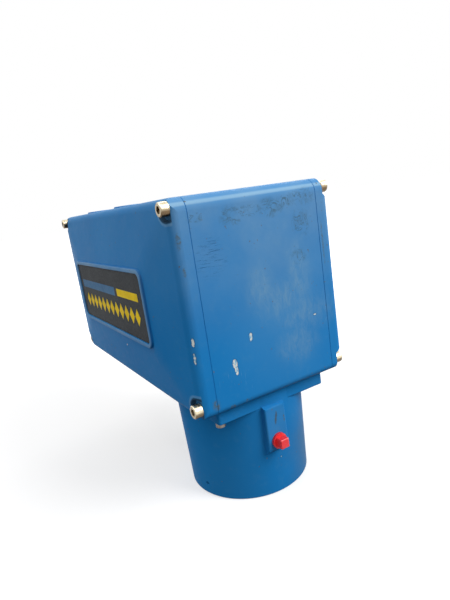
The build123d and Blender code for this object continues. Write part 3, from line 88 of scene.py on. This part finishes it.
class Graph:
    """A material and short calls for the nodes that it is made of."""

    def __init__(self, name, **sockets):
        self.material = bpy.data.materials.new(name)
        self.material.use_nodes = True
        self.tree = self.material.node_tree
        self.shader = self.tree.nodes["Principled BSDF"]
        self.place = self.tree.nodes.new("ShaderNodeTexCoord").outputs["Object"]
        for socket, value in sockets.items():
            self.shader.inputs[socket.replace("_", " ")].default_value = value

    def put(self, socket, value):
        """Links an output, or writes a plain value, to an input."""
        if isinstance(value, bpy.types.NodeSocket):
            self.tree.links.new(value, socket)
        else:
            socket.default_value = value

    def node(self, kind, inputs=(), **settings):
        made = self.tree.nodes.new(kind)
        for key, value in settings.items():
            setattr(made, key, value)
        for key, value in dict(inputs).items():
            self.put(made.inputs[key], value)
        return made

    def math(self, operation, first, second=0.0, clamp=False):
        made = self.node("ShaderNodeMath", {0: first, 1: second}, operation=operation, use_clamp=clamp)
        return made.outputs[0]

    def stretch(self, scale, turn=(0.0, 0.0, 0.0)):
        """The object's coordinates, turned and scaled."""
        made = self.node("ShaderNodeMapping", {"Vector": self.place, "Scale": scale, "Rotation": turn})
        return made.outputs[0]

    def noise(self, scale, detail=4.0, roughness=0.55, vector=None, distortion=0.0):
        made = self.node(
            "ShaderNodeTexNoise",
            {
                "Vector": vector or self.place,
                "Scale": scale,
                "Detail": detail,
                "Roughness": roughness,
                "Distortion": distortion,
            },
        )
        return made.outputs["Fac"]

    def times(self, first, *factors):
        for factor in factors:
            first = self.math("MULTIPLY", first, factor)
        return first

    def split(self, vector):
        """The x, y and z of a vector."""
        made = self.node("ShaderNodeSeparateXYZ", {"Vector": vector})
        return made.outputs["X"], made.outputs["Y"], made.outputs["Z"]

    def facing(self):
        """The x, y and z of the way that the surface faces."""
        return self.split(self.node("ShaderNodeNewGeometry").outputs["Normal"])

    def span(self, value, low, high, out_low=0.0, out_high=1.0):
        """Maps low to high onto out_low to out_high, clamped, with soft ends."""
        made = self.node(
            "ShaderNodeMapRange",
            {"Value": value, "From Min": low, "From Max": high, "To Min": out_low, "To Max": out_high},
            interpolation_type="SMOOTHSTEP",
        )
        return made.outputs[0]

    def mix(self, share, first, second):
        made = self.node("ShaderNodeMix", data_type="RGBA")
        self.put(made.inputs["Factor"], share)
        self.put(made.inputs[6], first)
        self.put(made.inputs[7], second)
        return made.outputs[2]

    def spot(self, centre, radii, soft=0.35, ragged=0.3, grain=900.0):
        """1 inside a ragged ellipsoid at centre, in metres, and 0 outside it."""
        offset = self.node(
            "ShaderNodeVectorMath", {0: self.place, 1: centre}, operation="SUBTRACT"
        ).outputs[0]
        scaled = self.node(
            "ShaderNodeVectorMath", {0: offset, 1: [1 / r for r in radii]}, operation="MULTIPLY"
        ).outputs[0]
        distance = self.node("ShaderNodeVectorMath", {0: scaled}, operation="LENGTH").outputs["Value"]
        wobble = self.math("MULTIPLY", self.math("SUBTRACT", self.noise(grain), 0.5), 2 * ragged)
        return self.span(self.math("ADD", distance, wobble), 1.0 + soft / 2, 1.0 - soft / 2)

    def bump(self, height, distance, strength=1.0, normal=None):
        inputs = {"Height": height, "Distance": distance, "Strength": strength}
        if normal:
            inputs["Normal"] = normal
        return self.node("ShaderNodeBump", inputs).outputs["Normal"]

    def give(self, socket, value):
        self.put(self.shader.inputs[socket], value)


# Display colours of the blue paint, of what lies on it, and of the painted sheen, highlights and shade on
# it
PAINT_COLOURS = {
    "blue": (24, 120, 188),
    "light_blue": (38, 128, 194),
    "bloom": (90, 146, 180),
    # A chalky film that is partly a painted sheen
    "chalk_and_sheen": (172, 190, 190),
    "haze": (128, 164, 186),
    # A painted grey sheen on the snout's far side
    "dull": (90, 104, 108),
    # A painted highlight along the end's top edge
    "top_edge_highlight": (168, 204, 222),
    # Painted shade in the joint above the flange
    "joint_shade": (14, 42, 68),
    "dark_scratch": (30, 72, 112),
    "pale_scratch": (120, 176, 214),
    "smudge": (70, 94, 100),
    "grime": (92, 98, 76),
    "scrape": (78, 82, 60),
    "fleck": (100, 92, 74),
    # A painted highlight round each screw pocket
    "pocket_rim_highlight": (150, 190, 214),
    # Painted shade in the screw pockets
    "pocket_shade": (14, 32, 48),
    # Painted shade on what faces down
    "underside_shade": (14, 50, 84),
    "chip_rim": (44, 78, 104),
    "filler": (222, 224, 218),
    "filler_blue": (132, 184, 214),
}

# Heights and depths that the layers of paint, and the painted sheen, highlights and shade, start and end
# at
FILM_AND_SHEEN_Z = (120 * MM, 232 * MM)
TOP_EDGE_Z = (226 * MM, 229 * MM)
JOINT_SHADE_REACH = (2.6 * MM, 0.4 * MM)
BEAD_Y = (abs(PLATEAU_Y) + 1.2 * MM, abs(PLATEAU_Y) + 1.8 * MM)
POCKET_DEPTH_Y = (POCKET_Y - 0.2 * MM, POCKET_Y + 0.2 * MM)
POCKET_REACH = 30 * MM
# Radius, strength and colour of the painted highlight round a screw pocket and of the painted shade in it
POCKET_LAYERS = ((11 * MM, 0.28, "pocket_rim_highlight"), (9.3 * MM, 0.8, "pocket_shade"))

# Ragged marks: middle and radii in millimetres, then softness, raggedness and grain.
# END is the face of the snout-side end, PAD the face of the plug's pad.
END = NEAR_X / MM
PAD = PLUG_PAD_X / MM
PAD_DUST = [((PAD, -3, 56), (1.2, 11, 22), 0.4, 0.1, 60.0)]
HAZE = [
    ((END, -6, 168), (3, 10, 15), 1.4, 0.5, 60.0),
    ((END, 12, 155), (3, 20, 12), 1.4, 0.6, 70.0),
    ((END, 30, 168), (3, 9, 22), 1.4, 0.6, 70.0),
    ((END, 32, 140), (3, 22, 12), 1.6, 0.6, 80.0),
    ((END, 22, 120), (3, 14, 13), 1.8, 0.6, 80.0),
]
HAZE_VEIL = [((END, 18, 152), (4, 40, 52), 1.6, 0.2, 40.0)]
# A painted grey sheen on the snout's far side
SNOUT_SHEEN = [((30, 46, 22), (34, 34, 44), 1.4, 0.3, 50.0)]
DARK_SCRATCHES = [((END, -42, 196), (4, 10, 14), 0.7, 0.5, 60.0)]
PALE_SCRATCHES = [((END, -36, 106), (4, 12, 10), 0.7, 0.5, 60.0)]
SMUDGES = [
    ((END, -22, 221), (3, 8, 6), 0.7, 0.6, 160.0),
    ((END, -7, 222), (3, 9, 4), 0.7, 0.6, 180.0),
    ((END, 11, 222), (3, 10, 6), 0.7, 0.6, 160.0),
    ((END, 27, 225), (3, 8, 4), 0.7, 0.6, 180.0),
    ((END, 41, 226), (3, 10, 6), 0.7, 0.5, 140.0),
    ((END, 37, 208), (3, 7, 9), 0.7, 0.6, 160.0),
    ((END, -49, 223), (3, 5, 3), 0.7, 0.6, 220.0),
    ((END, 31, 184), (3, 6, 5), 0.7, 0.6, 220.0),
]
GRIME = [
    ((PAD, 4.4, 63), (3, 0.6, 3.2), 0.6, 0.5),
    ((PAD, -2, 38.5), (5, 7.0, 1.6), 0.8, 0.5),
    ((END, -54, 96), (6, 2.8, 3.8), 0.8, 0.6),
    ((END, -41, 90), (6, 2.4, 1.6), 0.8, 0.6),
    ((END, -28.6, 91), (6, 1.4, 1.2), 0.8, 0.6),
    ((END, -62.2, 210), (3, 1.5, 4.4), 0.8, 0.9),
    ((END, -61.5, 190), (3, 1.0, 3.0), 0.8, 0.9),
    ((END, 56, 190), (3, 0.8, 16), 0.8, 0.9),
]
SCRAPES = [
    ((PAD, -3.8, 62.6), (3, 0.7, 2.6), 0.6, 0.35),
    ((PAD, -3.1, 65.4), (3, 0.8, 2.8), 0.6, 0.35),
    ((PAD, -2.2, 68.2), (3, 0.7, 2.4), 0.6, 0.35),
    ((PAD, -1.0, 37.6), (5, 5.5, 0.9), 0.6, 0.35),
]
# Chips down to the filler, middle and radii only, and how far the dark rim reaches past each
CHIPS = [
    ((END, -19, 135.6), (3, 1.3, 2.9)),
    ((END, -34.8, 120.4), (3, 1.8, 3.2)),
    ((END, -34.2, 115.4), (3, 1.3, 3.4)),
    ((END, 40.8, 137), (3, 1.3, 0.6)),
    ((END, -63.3, 143.8), (3, 0.9, 3.0)),
    ((END, -63.7, 132.4), (3, 0.7, 4.6)),
    ((-61.9, -68.6, 120.3), (1.3, 3, 0.9)),
    ((51.3, 0, 29.5), (3, 0.6, 0.6)),
]
CHIP_RIM = 0.5


class BluePaint(Graph):
    """Semi-gloss machine paint over a casting, in layers from the coat to the chips in it, with painted
    sheen, highlights and shade among them.
    """

    def __init__(self):
        super().__init__("blue_paint", Specular_Tint=srgb(170, 215, 255), Specular_IOR_Level=0.012)
        _, self.y, self.z = self.split(self.place)
        self.facing_x, self.facing_y, self.facing_z = self.facing()
        self.fine = self.noise(160.0, 5.0, 0.6)
        self.tone = srgb(*PAINT_COLOURS["blue"])
        self.lay(self.span(self.noise(9.0, 3.0), 0.3, 0.7), "light_blue")
        self.lay(self.span(self.fine, 0.5, 0.75, 0.0, 0.10), "bloom")
        self.dust_and_painted_sheen()
        self.haze = self.rub_haze_and_paint_sheen()
        self.paint_edge_highlight_and_joint_shade()
        self.scratches = self.scratch()
        self.smudge()
        self.soil()
        self.paint_pocket_light_and_underside_shade()
        self.chips = self.chip()
        self.finish()

    def lay(self, share, colour):
        """Covers the paint so far with a share of one of the paint colours."""
        self.tone = self.mix(share, self.tone, srgb(*PAINT_COLOURS[colour]))

    def marks(self, rows):
        """The highest of the ragged spots that the rows describe."""
        spots = [
            self.spot([c * MM for c in middle], [r * MM for r in radii], *ragged)
            for middle, radii, *ragged in rows
        ]
        highest = spots[0]
        for spot in spots[1:]:
            highest = self.math("MAXIMUM", highest, spot)
        return highest

    def dust_and_painted_sheen(self):
        """A chalky film, partly a painted sheen, that thickens towards the top, a painted highlight on the
        bead, and dust on the plug's pad.
        """
        # Painted sheen: lighter towards the top and less on the label sides
        height = self.span(self.z, *FILM_AND_SHEEN_Z, 0.0, 0.24)
        sides = self.span(self.math("ABSOLUTE", self.facing_y), 0.3, 0.9, 1.0, 0.35)
        pad = self.times(self.marks(PAD_DUST), 0.06)
        # Painted highlight along the label's bead
        bead = self.span(self.math("ABSOLUTE", self.y), *BEAD_Y, 0.0, 0.3)
        clouds = self.span(self.noise(22.0, 5.0, 0.6), 0.25, 0.75, 0.55, 1.2)
        sheen_and_dust = self.math("MAXIMUM", self.times(height, sides), pad)
        self.lay(self.times(self.math("ADD", sheen_and_dust, bead), clouds), "chalk_and_sheen")

    def rub_haze_and_paint_sheen(self):
        """Streaky haze in the middle of the snout-side end, and a painted grey sheen on the snout's far
        side.
        """
        streaks = self.noise(90.0, 7.0, 0.74, self.stretch((1.0, 2.2, 1.0)), 0.5)
        streaky = self.times(self.marks(HAZE), self.span(streaks, 0.32, 0.72, 0.08, 0.42))
        haze = self.math("ADD", streaky, self.times(self.marks(HAZE_VEIL), 0.12))
        self.lay(haze, "haze")
        # Painted grey sheen on the snout's far side
        self.lay(self.times(self.marks(SNOUT_SHEEN), 0.5), "dull")
        return haze

    def paint_edge_highlight_and_joint_shade(self):
        """A painted highlight along the end's top edge, and painted shade in the joint above the flange.
        """
        # Painted highlight on the outward-facing rounded top edge
        slope = self.math("ABSOLUTE", self.math("SUBTRACT", self.facing_z, 0.5))
        outward = self.span(self.facing_x, 0.55, 0.75)
        edge_highlight = self.times(self.span(slope, 0.2, 0.05), outward, self.span(self.z, *TOP_EDGE_Z))
        self.lay(self.times(edge_highlight, 0.45), "top_edge_highlight")
        # Painted shade along the joint above the flange
        from_joint = self.math("ABSOLUTE", self.math("SUBTRACT", self.z, JOINT_Z))
        self.lay(self.times(self.span(from_joint, *JOINT_SHADE_REACH), 0.6), "joint_shade")

    def scratch(self):
        """Thin level scratches beside the left seam, and faint slanted ones lower down."""
        level = self.noise(70.0, 6.0, 0.7, self.stretch((1.0, 1.6, 40.0), (0.06, 0.0, 0.0)))
        dark = self.times(self.marks(DARK_SCRATCHES), self.span(level, 0.56, 0.62, 0.0, 0.75))
        self.lay(dark, "dark_scratch")
        slanted = self.noise(60.0, 3.0, 0.6, self.stretch((1.0, 16.0, 1.0), (0.35, 0.0, 0.0)))
        pale = self.times(self.marks(PALE_SCRATCHES), self.span(slanted, 0.6, 0.66, 0.0, 0.4))
        self.lay(pale, "pale_scratch")
        return dark

    def smudge(self):
        """Scribbled dark smudges along the end's top and down its right side."""
        winding = self.math("SUBTRACT", self.noise(120.0, 2.0, 0.5, None, 1.6), 0.5)
        loops = self.span(self.math("ABSOLUTE", winding), 0.03, 0.008)
        rub = self.span(self.noise(130.0, 5.0, 0.7), 0.42, 0.68, 0.0, 0.6)
        self.lay(self.times(self.marks(SMUDGES), self.math("MAXIMUM", loops, rub), 0.6), "smudge")

    def soil(self):
        """Grime in worn places, scrapes round the plug, and a scatter of brown flecks."""
        mottle = self.span(self.noise(520.0, 4.0, 0.7), 0.42, 0.62, 0.15, 0.75)
        self.lay(self.times(self.marks(GRIME), mottle), "grime")
        for row in SCRAPES:
            self.lay(self.times(self.marks([row]), 0.6), "scrape")
        self.lay(self.span(self.noise(430.0, 2.0, 0.4), 0.74, 0.775, 0.0, 0.7), "fleck")

    def paint_pocket_light_and_underside_shade(self):
        """A painted highlight ring round each cover screw's pocket, painted shade in it, and painted shade
        on what faces down.
        """
        for x, z in COVER_SCREWS:
            for side in (-1.0, 1.0):
                deep = self.span(self.times(self.y, side), *POCKET_DEPTH_Y)
                # Painted highlight ring round the pocket, then painted shade inside it
                for radius, strength, colour in POCKET_LAYERS:
                    radii = (radius, POCKET_REACH, radius)
                    disc = self.spot((x, side * POCKET_Y, z), radii, 0.12, 0.05, 300.0)
                    self.lay(self.times(disc, deep, strength), colour)
        # Painted shade on what faces down
        self.lay(self.span(self.facing_z, -0.2, -0.9, 0.0, 0.4), "underside_shade")

    def chip(self):
        """Chips down to the pale filler, each with a dark rim."""
        rims = [(middle, [r + CHIP_RIM for r in radii], 0.4, 0.4, 520.0) for middle, radii in CHIPS]
        self.lay(self.times(self.marks(rims), 0.45), "chip_rim")
        chips = self.marks([(middle, radii, 0.25, 0.32, 520.0) for middle, radii in CHIPS])
        patchy = self.span(self.noise(520.0, 3.0), 0.44, 0.58)
        pale, blue = (srgb(*PAINT_COLOURS[name]) for name in ("filler", "filler_blue"))
        self.tone = self.mix(chips, self.tone, self.mix(patchy, pale, blue))
        return chips

    def finish(self):
        """Colour, gloss, and the relief of orange peel, casting, scratches and chips."""
        self.give("Base Color", self.tone)
        worn = self.math("ADD", self.span(self.fine, 0.2, 0.8, 0.36, 0.5), self.times(self.haze, 0.4))
        self.give("Roughness", self.math("ADD", worn, self.times(self.chips, 0.3), True))
        peel = self.bump(self.noise(330.0, 2.0), 0.05 * MM, 0.5)
        cast = self.bump(self.noise(60.0, 3.0), 0.22 * MM, 0.3, peel)
        scored = self.bump(self.math("SUBTRACT", 1.0, self.scratches), 0.05 * MM, 0.6, cast)
        self.give("Normal", self.bump(self.math("SUBTRACT", 1.0, self.chips), 0.15 * MM, 0.8, scored))


def cap_screw():
    """Stainless screw head: a painted reflection, bright and warm on what faces up and dark brown
    underneath and in its socket, with brown stains in patches.
    """
    g = Graph("stainless", Metallic=1.0)
    _, _, facing_up = g.facing()
    patches = g.noise(300.0, 5.0, 0.65)
    lines = g.noise(300.0, 4.0, 0.6, g.stretch((1.0, 12.0, 1.0)))
    # Painted reflection: bright and warm on what faces up, dark brown on what faces down
    colour = g.mix(g.span(facing_up, 0.45, -0.35), srgb(240, 228, 196), srgb(104, 88, 68))
    colour = g.mix(g.span(patches, 0.5, 0.72, 0.0, 0.5), colour, srgb(150, 118, 84))
    g.give("Base Color", g.mix(g.span(lines, 0.4, 0.7, 0.0, 0.2), colour, srgb(120, 98, 70)))
    g.give("Roughness", g.span(lines, 0.25, 0.75, 0.2, 0.4))
    g.give("Normal", g.bump(lines, 0.03 * MM, 0.5))
    return g.material


def steel(name, tone, stain, roughness, stain_share):
    """Turned metal with fine turning marks and a few stains."""
    g = Graph(name, Metallic=1.0)
    patches = g.noise(240.0, 5.0, 0.6)
    lines = g.noise(300.0, 4.0, 0.6, g.stretch((1.0, 12.0, 1.0)))
    colour = g.mix(g.span(patches, 0.5, 0.72, 0.0, stain_share), tone, stain)
    g.give("Base Color", g.mix(g.span(lines, 0.4, 0.7, 0.0, 0.25), colour, stain))
    g.give("Roughness", g.span(lines, 0.25, 0.75, roughness - 0.08, roughness + 0.12))
    g.give("Normal", g.bump(lines, 0.03 * MM, 0.5))
    return g.material


def smooth_metal(name, tone, roughness, grain=(1.0, 14.0, 1.0)):
    """Clean machined or rolled metal, brushed along one way."""
    g = Graph(name, Metallic=1.0)
    lines = g.noise(220.0, 5.0, 0.65, g.stretch(grain))
    dull = g.noise(35.0, 3.0)
    darker = tuple(0.78 * c for c in tone[:3]) + (1.0,)
    g.give("Base Color", g.mix(g.span(dull, 0.35, 0.7, 0.0, 0.6), tone, darker))
    g.give("Roughness", g.span(lines, 0.3, 0.7, roughness - 0.06, roughness + 0.08))
    g.give("Normal", g.bump(lines, 0.02 * MM, 0.6))
    return g.material


def moulded(name, tone, roughness, grain=420.0, specks=None, **sockets):
    """Plastic, rubber or paint with a fine grain and slight unevenness."""
    g = Graph(name, **sockets)
    cloud = g.noise(50.0, 3.0)
    fine = g.noise(grain, 3.0)
    darker = tuple(0.72 * c for c in tone[:3]) + (1.0,)
    colour = g.mix(g.span(cloud, 0.35, 0.7, 0.0, 0.5), tone, darker)
    if specks:
        colour = g.mix(g.span(fine, 0.62, 0.7, 0.0, 0.5), colour, specks)
    g.give("Base Color", colour)
    g.give("Roughness", g.span(fine, 0.3, 0.7, roughness - 0.07, roughness + 0.09))
    g.give("Normal", g.bump(fine, 0.05 * MM, 0.4))
    return g.material


def clear(name, tone, index, dust=0.12):
    """Glass with a trace of dust and wiping marks."""
    g = Graph(name, IOR=index, Transmission_Weight=1.0)
    wipes = g.noise(70.0, 6.0, 0.7, g.stretch((1.0, 4.0, 1.0), (0.0, 0.0, 0.6)), 0.5)
    darker = tuple(0.93 * c for c in tone[:3]) + (1.0,)
    g.give("Base Color", g.mix(g.span(wipes, 0.4, 0.7), tone, darker))
    g.give("Roughness", g.span(wipes, 0.45, 0.75, 0.02, dust))
    return g.material


def printed_board():
    """Green board laminate with paler tracks under its varnish."""
    g = Graph("circuit_board")
    checker = g.noise(260.0, 2.0, 0.5, g.stretch((1.0, 1.0, 4.0)))
    g.give("Base Color", g.mix(g.span(checker, 0.52, 0.58, 0.0, 0.8), srgb(20, 78, 46), srgb(44, 112, 70)))
    g.give("Roughness", g.span(checker, 0.4, 0.7, 0.3, 0.5))
    g.give("Normal", g.bump(checker, 0.05 * MM, 0.5))
    return g.material


def filter_glass():
    """Thin-film filters that differ a little in tint round the wheel."""
    g = Graph("filter_glass", Metallic=0.65)
    tint = g.noise(24.0, 1.0)
    g.give("Base Color", g.mix(g.span(tint, 0.4, 0.6), srgb(150, 96, 168), srgb(88, 140, 176)))
    g.give("Roughness", g.span(g.noise(300.0), 0.3, 0.7, 0.05, 0.14))
    return g.material


materials = {
    "blue_paint": BluePaint().material,
    "stainless": cap_screw(),
    "dull_screws": steel("dull_screws", srgb(128, 122, 116), srgb(92, 72, 58), 0.42, 0.7),
    "black_steel": steel("black_steel", srgb(52, 50, 50), srgb(70, 58, 48), 0.4, 0.4),
    "seal": moulded("seal", srgb(28, 28, 30), 0.62),
    "label": moulded("label", srgb(42, 46, 50), 0.62, 700.0, srgb(74, 80, 84), Specular_IOR_Level=0.08),
    "red_plastic": moulded("red_plastic", srgb(248, 50, 56), 0.36, 300.0, None, Subsurface_Weight=0.15),
    "window": clear("window", srgb(228, 238, 240), 1.45),
    "lens_glass": clear("lens_glass", srgb(236, 240, 236), 1.5, 0.06),
    "bulb_glass": clear("bulb_glass", srgb(244, 242, 236), 1.46, 0.08),
    "filter_glass": filter_glass(),
    "mirror_glass": smooth_metal("mirror_glass", srgb(226, 228, 230), 0.09, (3.0, 3.0, 3.0)),
    "bare_aluminium": smooth_metal("bare_aluminium", srgb(196, 198, 200), 0.34),
    "black_anodised": moulded("black_anodised", srgb(30, 30, 33), 0.42, 600.0, srgb(58, 58, 62)),
    "polished_metal": smooth_metal("polished_metal", srgb(222, 222, 220), 0.14, (6.0, 1.0, 1.0)),
    "brass_hub": smooth_metal("brass_hub", srgb(204, 168, 92), 0.26),
    "gold_can": smooth_metal("gold_can", srgb(222, 178, 92), 0.2),
    "ceramic": moulded("ceramic", srgb(226, 222, 210), 0.5, 500.0, srgb(196, 190, 176)),
    "black_plastic": moulded("black_plastic", srgb(32, 32, 34), 0.48),
    "circuit_board": printed_board(),
    "motor_can": smooth_metal("motor_can", srgb(150, 152, 154), 0.32),
    "transformer_core": moulded("transformer_core", srgb(70, 66, 62), 0.55, 260.0, srgb(112, 92, 70)),
    "olive_metal": steel("olive_metal", srgb(96, 94, 62), srgb(70, 66, 40), 0.44, 0.5),
}

for row in frame["record"]["subparts"]:
    cad = frame["nodes"][row["node"]]
    cad.data.materials.clear()
    cad.data.materials.append(materials[row["material_slot"]])


LABEL_YELLOW = (250, 214, 30)
# Plain marks on the label, each a thin printed film: colour, then x and z spans in millimetres
LABEL_MARKS = {
    "label_bars_grey": ((66, 112, 152), [(-166.0, -62.0, 165.0, 172.6)]),
    "label_bars_yellow": (LABEL_YELLOW, [(-56.0, -6.0, 165.6, 172.0)]),
}
FILM_ABOVE = 0.05 * MM
FILM_BELOW = 0.02 * MM
DIAMOND_COUNT = 12
DIAMOND_FIRST_X = -155.0
DIAMOND_PITCH = 12.9
DIAMOND_HALF_WIDTH = 5.5
DIAMOND_HALF_HEIGHT = 7.0
DIAMOND_Z = 152.5


def printed(name, tone, outlines):
    """Flat printed shapes that lie on the label, in one piece."""
    form = bmesh.new()
    for outline in outlines:
        front = [form.verts.new((x * MM, LABEL_FACE - FILM_ABOVE, z * MM)) for x, z in outline]
        back = [form.verts.new((x * MM, LABEL_FACE + FILM_BELOW, z * MM)) for x, z in outline]
        form.faces.new(front)
        form.faces.new(back[::-1])
        for i in range(len(outline)):
            j = (i + 1) % len(outline)
            form.faces.new((front[j], front[i], back[i], back[j]))
    bmesh.ops.recalc_face_normals(form, faces=form.faces)
    mesh = bpy.data.meshes.new(name)
    form.to_mesh(mesh)
    form.free()
    piece = bpy.data.objects.new(name, mesh)
    bpy.context.scene.collection.objects.link(piece)
    specks = srgb(*[0.75 * c for c in tone])
    mesh.materials.append(moulded(name, srgb(*tone), 0.6, 520.0, specks, Specular_IOR_Level=0.08))
    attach(piece, "head")


for name, (tone, bars) in LABEL_MARKS.items():
    printed(name, tone, [[(x0, z0), (x1, z0), (x1, z1), (x0, z1)] for x0, x1, z0, z1 in bars])
diamonds = []
for i in range(DIAMOND_COUNT):
    x = DIAMOND_FIRST_X + i * DIAMOND_PITCH
    diamonds.append([
        (x - DIAMOND_HALF_WIDTH, DIAMOND_Z), (x, DIAMOND_Z - DIAMOND_HALF_HEIGHT),
        (x + DIAMOND_HALF_WIDTH, DIAMOND_Z), (x, DIAMOND_Z + DIAMOND_HALF_HEIGHT),
    ])
printed("label_diamonds", LABEL_YELLOW, diamonds)


def seen_rays(nodes, links):
    """1 for what the eye, a reflection or glass shows, and 0 for light that a surface gathers."""
    rays = nodes.new("ShaderNodeLightPath")
    seen = rays.outputs["Is Camera Ray"]
    for other in ("Is Glossy Ray", "Is Transmission Ray"):
        either_ray = nodes.new("ShaderNodeMath")
        either_ray.operation = "MAXIMUM"
        links.new(seen, either_ray.inputs[0])
        links.new(rays.outputs[other], either_ray.inputs[1])
        seen = either_ray.outputs[0]
    return seen


# Name, place in metres, width in metres and watts of each lamp
LAMPS = (
    ("high_right", (1.1, 0.85, 1.15), 1.1, 25.0),
    ("above_label", (-0.2, -0.9, 1.35), 1.2, 7.0),
    ("behind", (-0.9, 0.8, 0.9), 0.9, 5.0),
)


def light_rig():
    """A large soft light high on the right, a weaker one above the label side and one behind."""
    middle = (cad_low + cad_high) / 2
    for name, place, size, power in LAMPS:
        data = bpy.data.lights.new(name, "AREA")
        data.shape = "DISK"
        data.size = size
        data.energy = power
        lamp = bpy.data.objects.new(name, data)
        lamp.location = place
        lamp.rotation_mode = "QUATERNION"
        lamp.rotation_quaternion = (middle - Vector(place)).to_track_quat("-Z", "Y")
        lamp.visible_camera = False
        bpy.context.scene.collection.objects.link(lamp)


WHITE = (1.0, 1.0, 1.0, 1.0)
WORLD_LIGHT = 0.5
FLOOR_WIDTH = 30.0
# The floor's glow rises from its strength near the object to 1 between these distances, in metres
GLOW_DISTANCE = (0.35, 0.9)
GLOW_NEAR_OBJECT = 0.5


def pale_world():
    """White to the eye and in reflections, and a softer grey-white as a light."""
    world = bpy.data.worlds.new("studio")
    world.use_nodes = True
    nodes, links = world.node_tree.nodes, world.node_tree.links
    background = nodes["Background"]
    strength = nodes.new("ShaderNodeMapRange")
    links.new(seen_rays(nodes, links), strength.inputs["Value"])
    strength.inputs["To Min"].default_value = WORLD_LIGHT
    strength.inputs["To Max"].default_value = 1.0
    links.new(strength.outputs[0], background.inputs["Strength"])
    background.inputs["Color"].default_value = WHITE
    bpy.context.scene.world = world


def pale_floor():
    """A wide plain floor under the lower end, white to the eye, which keeps the object's shadow."""
    bpy.ops.mesh.primitive_plane_add(size=FLOOR_WIDTH, location=(0.0, 0.0, cad_low.z))
    floor = bpy.context.object
    floor.name = "floor"
    g = Graph("pale_floor", Roughness=1.0, Specular_IOR_Level=0.0)
    g.shader.inputs["Emission Color"].default_value = WHITE
    seen = seen_rays(g.tree.nodes, g.tree.links)
    grain = g.mix(g.noise(3.0), srgb(200, 200, 200), srgb(206, 206, 206))
    g.give("Base Color", g.mix(seen, srgb(118, 118, 118), grain))
    distance = g.node("ShaderNodeVectorMath", {0: g.place}, operation="LENGTH").outputs["Value"]
    glow = g.span(distance, *GLOW_DISTANCE, GLOW_NEAR_OBJECT, 1.0)
    g.give("Emission Strength", g.math("MULTIPLY", seen, glow))
    floor.data.materials.append(g.material)


def photo_camera():
    """The camera that the photograph was taken from."""
    angle = CAMERA_TURN.length
    world_to_lens = Matrix.Rotation(angle, 3, CAMERA_TURN)
    right, down, forward = world_to_lens
    data = bpy.data.cameras.new("photo_camera")
    data.sensor_width = SENSOR
    data.lens = SENSOR * FOCAL_PIXELS / FRAME_LONG_SIDE
    data.clip_start = 0.01
    camera = bpy.data.objects.new("photo_camera", data)
    turned = Matrix((right, -down, -forward)).transposed().to_4x4()
    camera.matrix_world = Matrix.Translation(CAMERA_PLACE) @ turned
    bpy.context.scene.collection.objects.link(camera)
    bpy.context.scene.camera = camera


photo_camera()
light_rig()
pale_world()
pale_floor()
bpy.context.scene.view_settings.view_transform = "Standard"
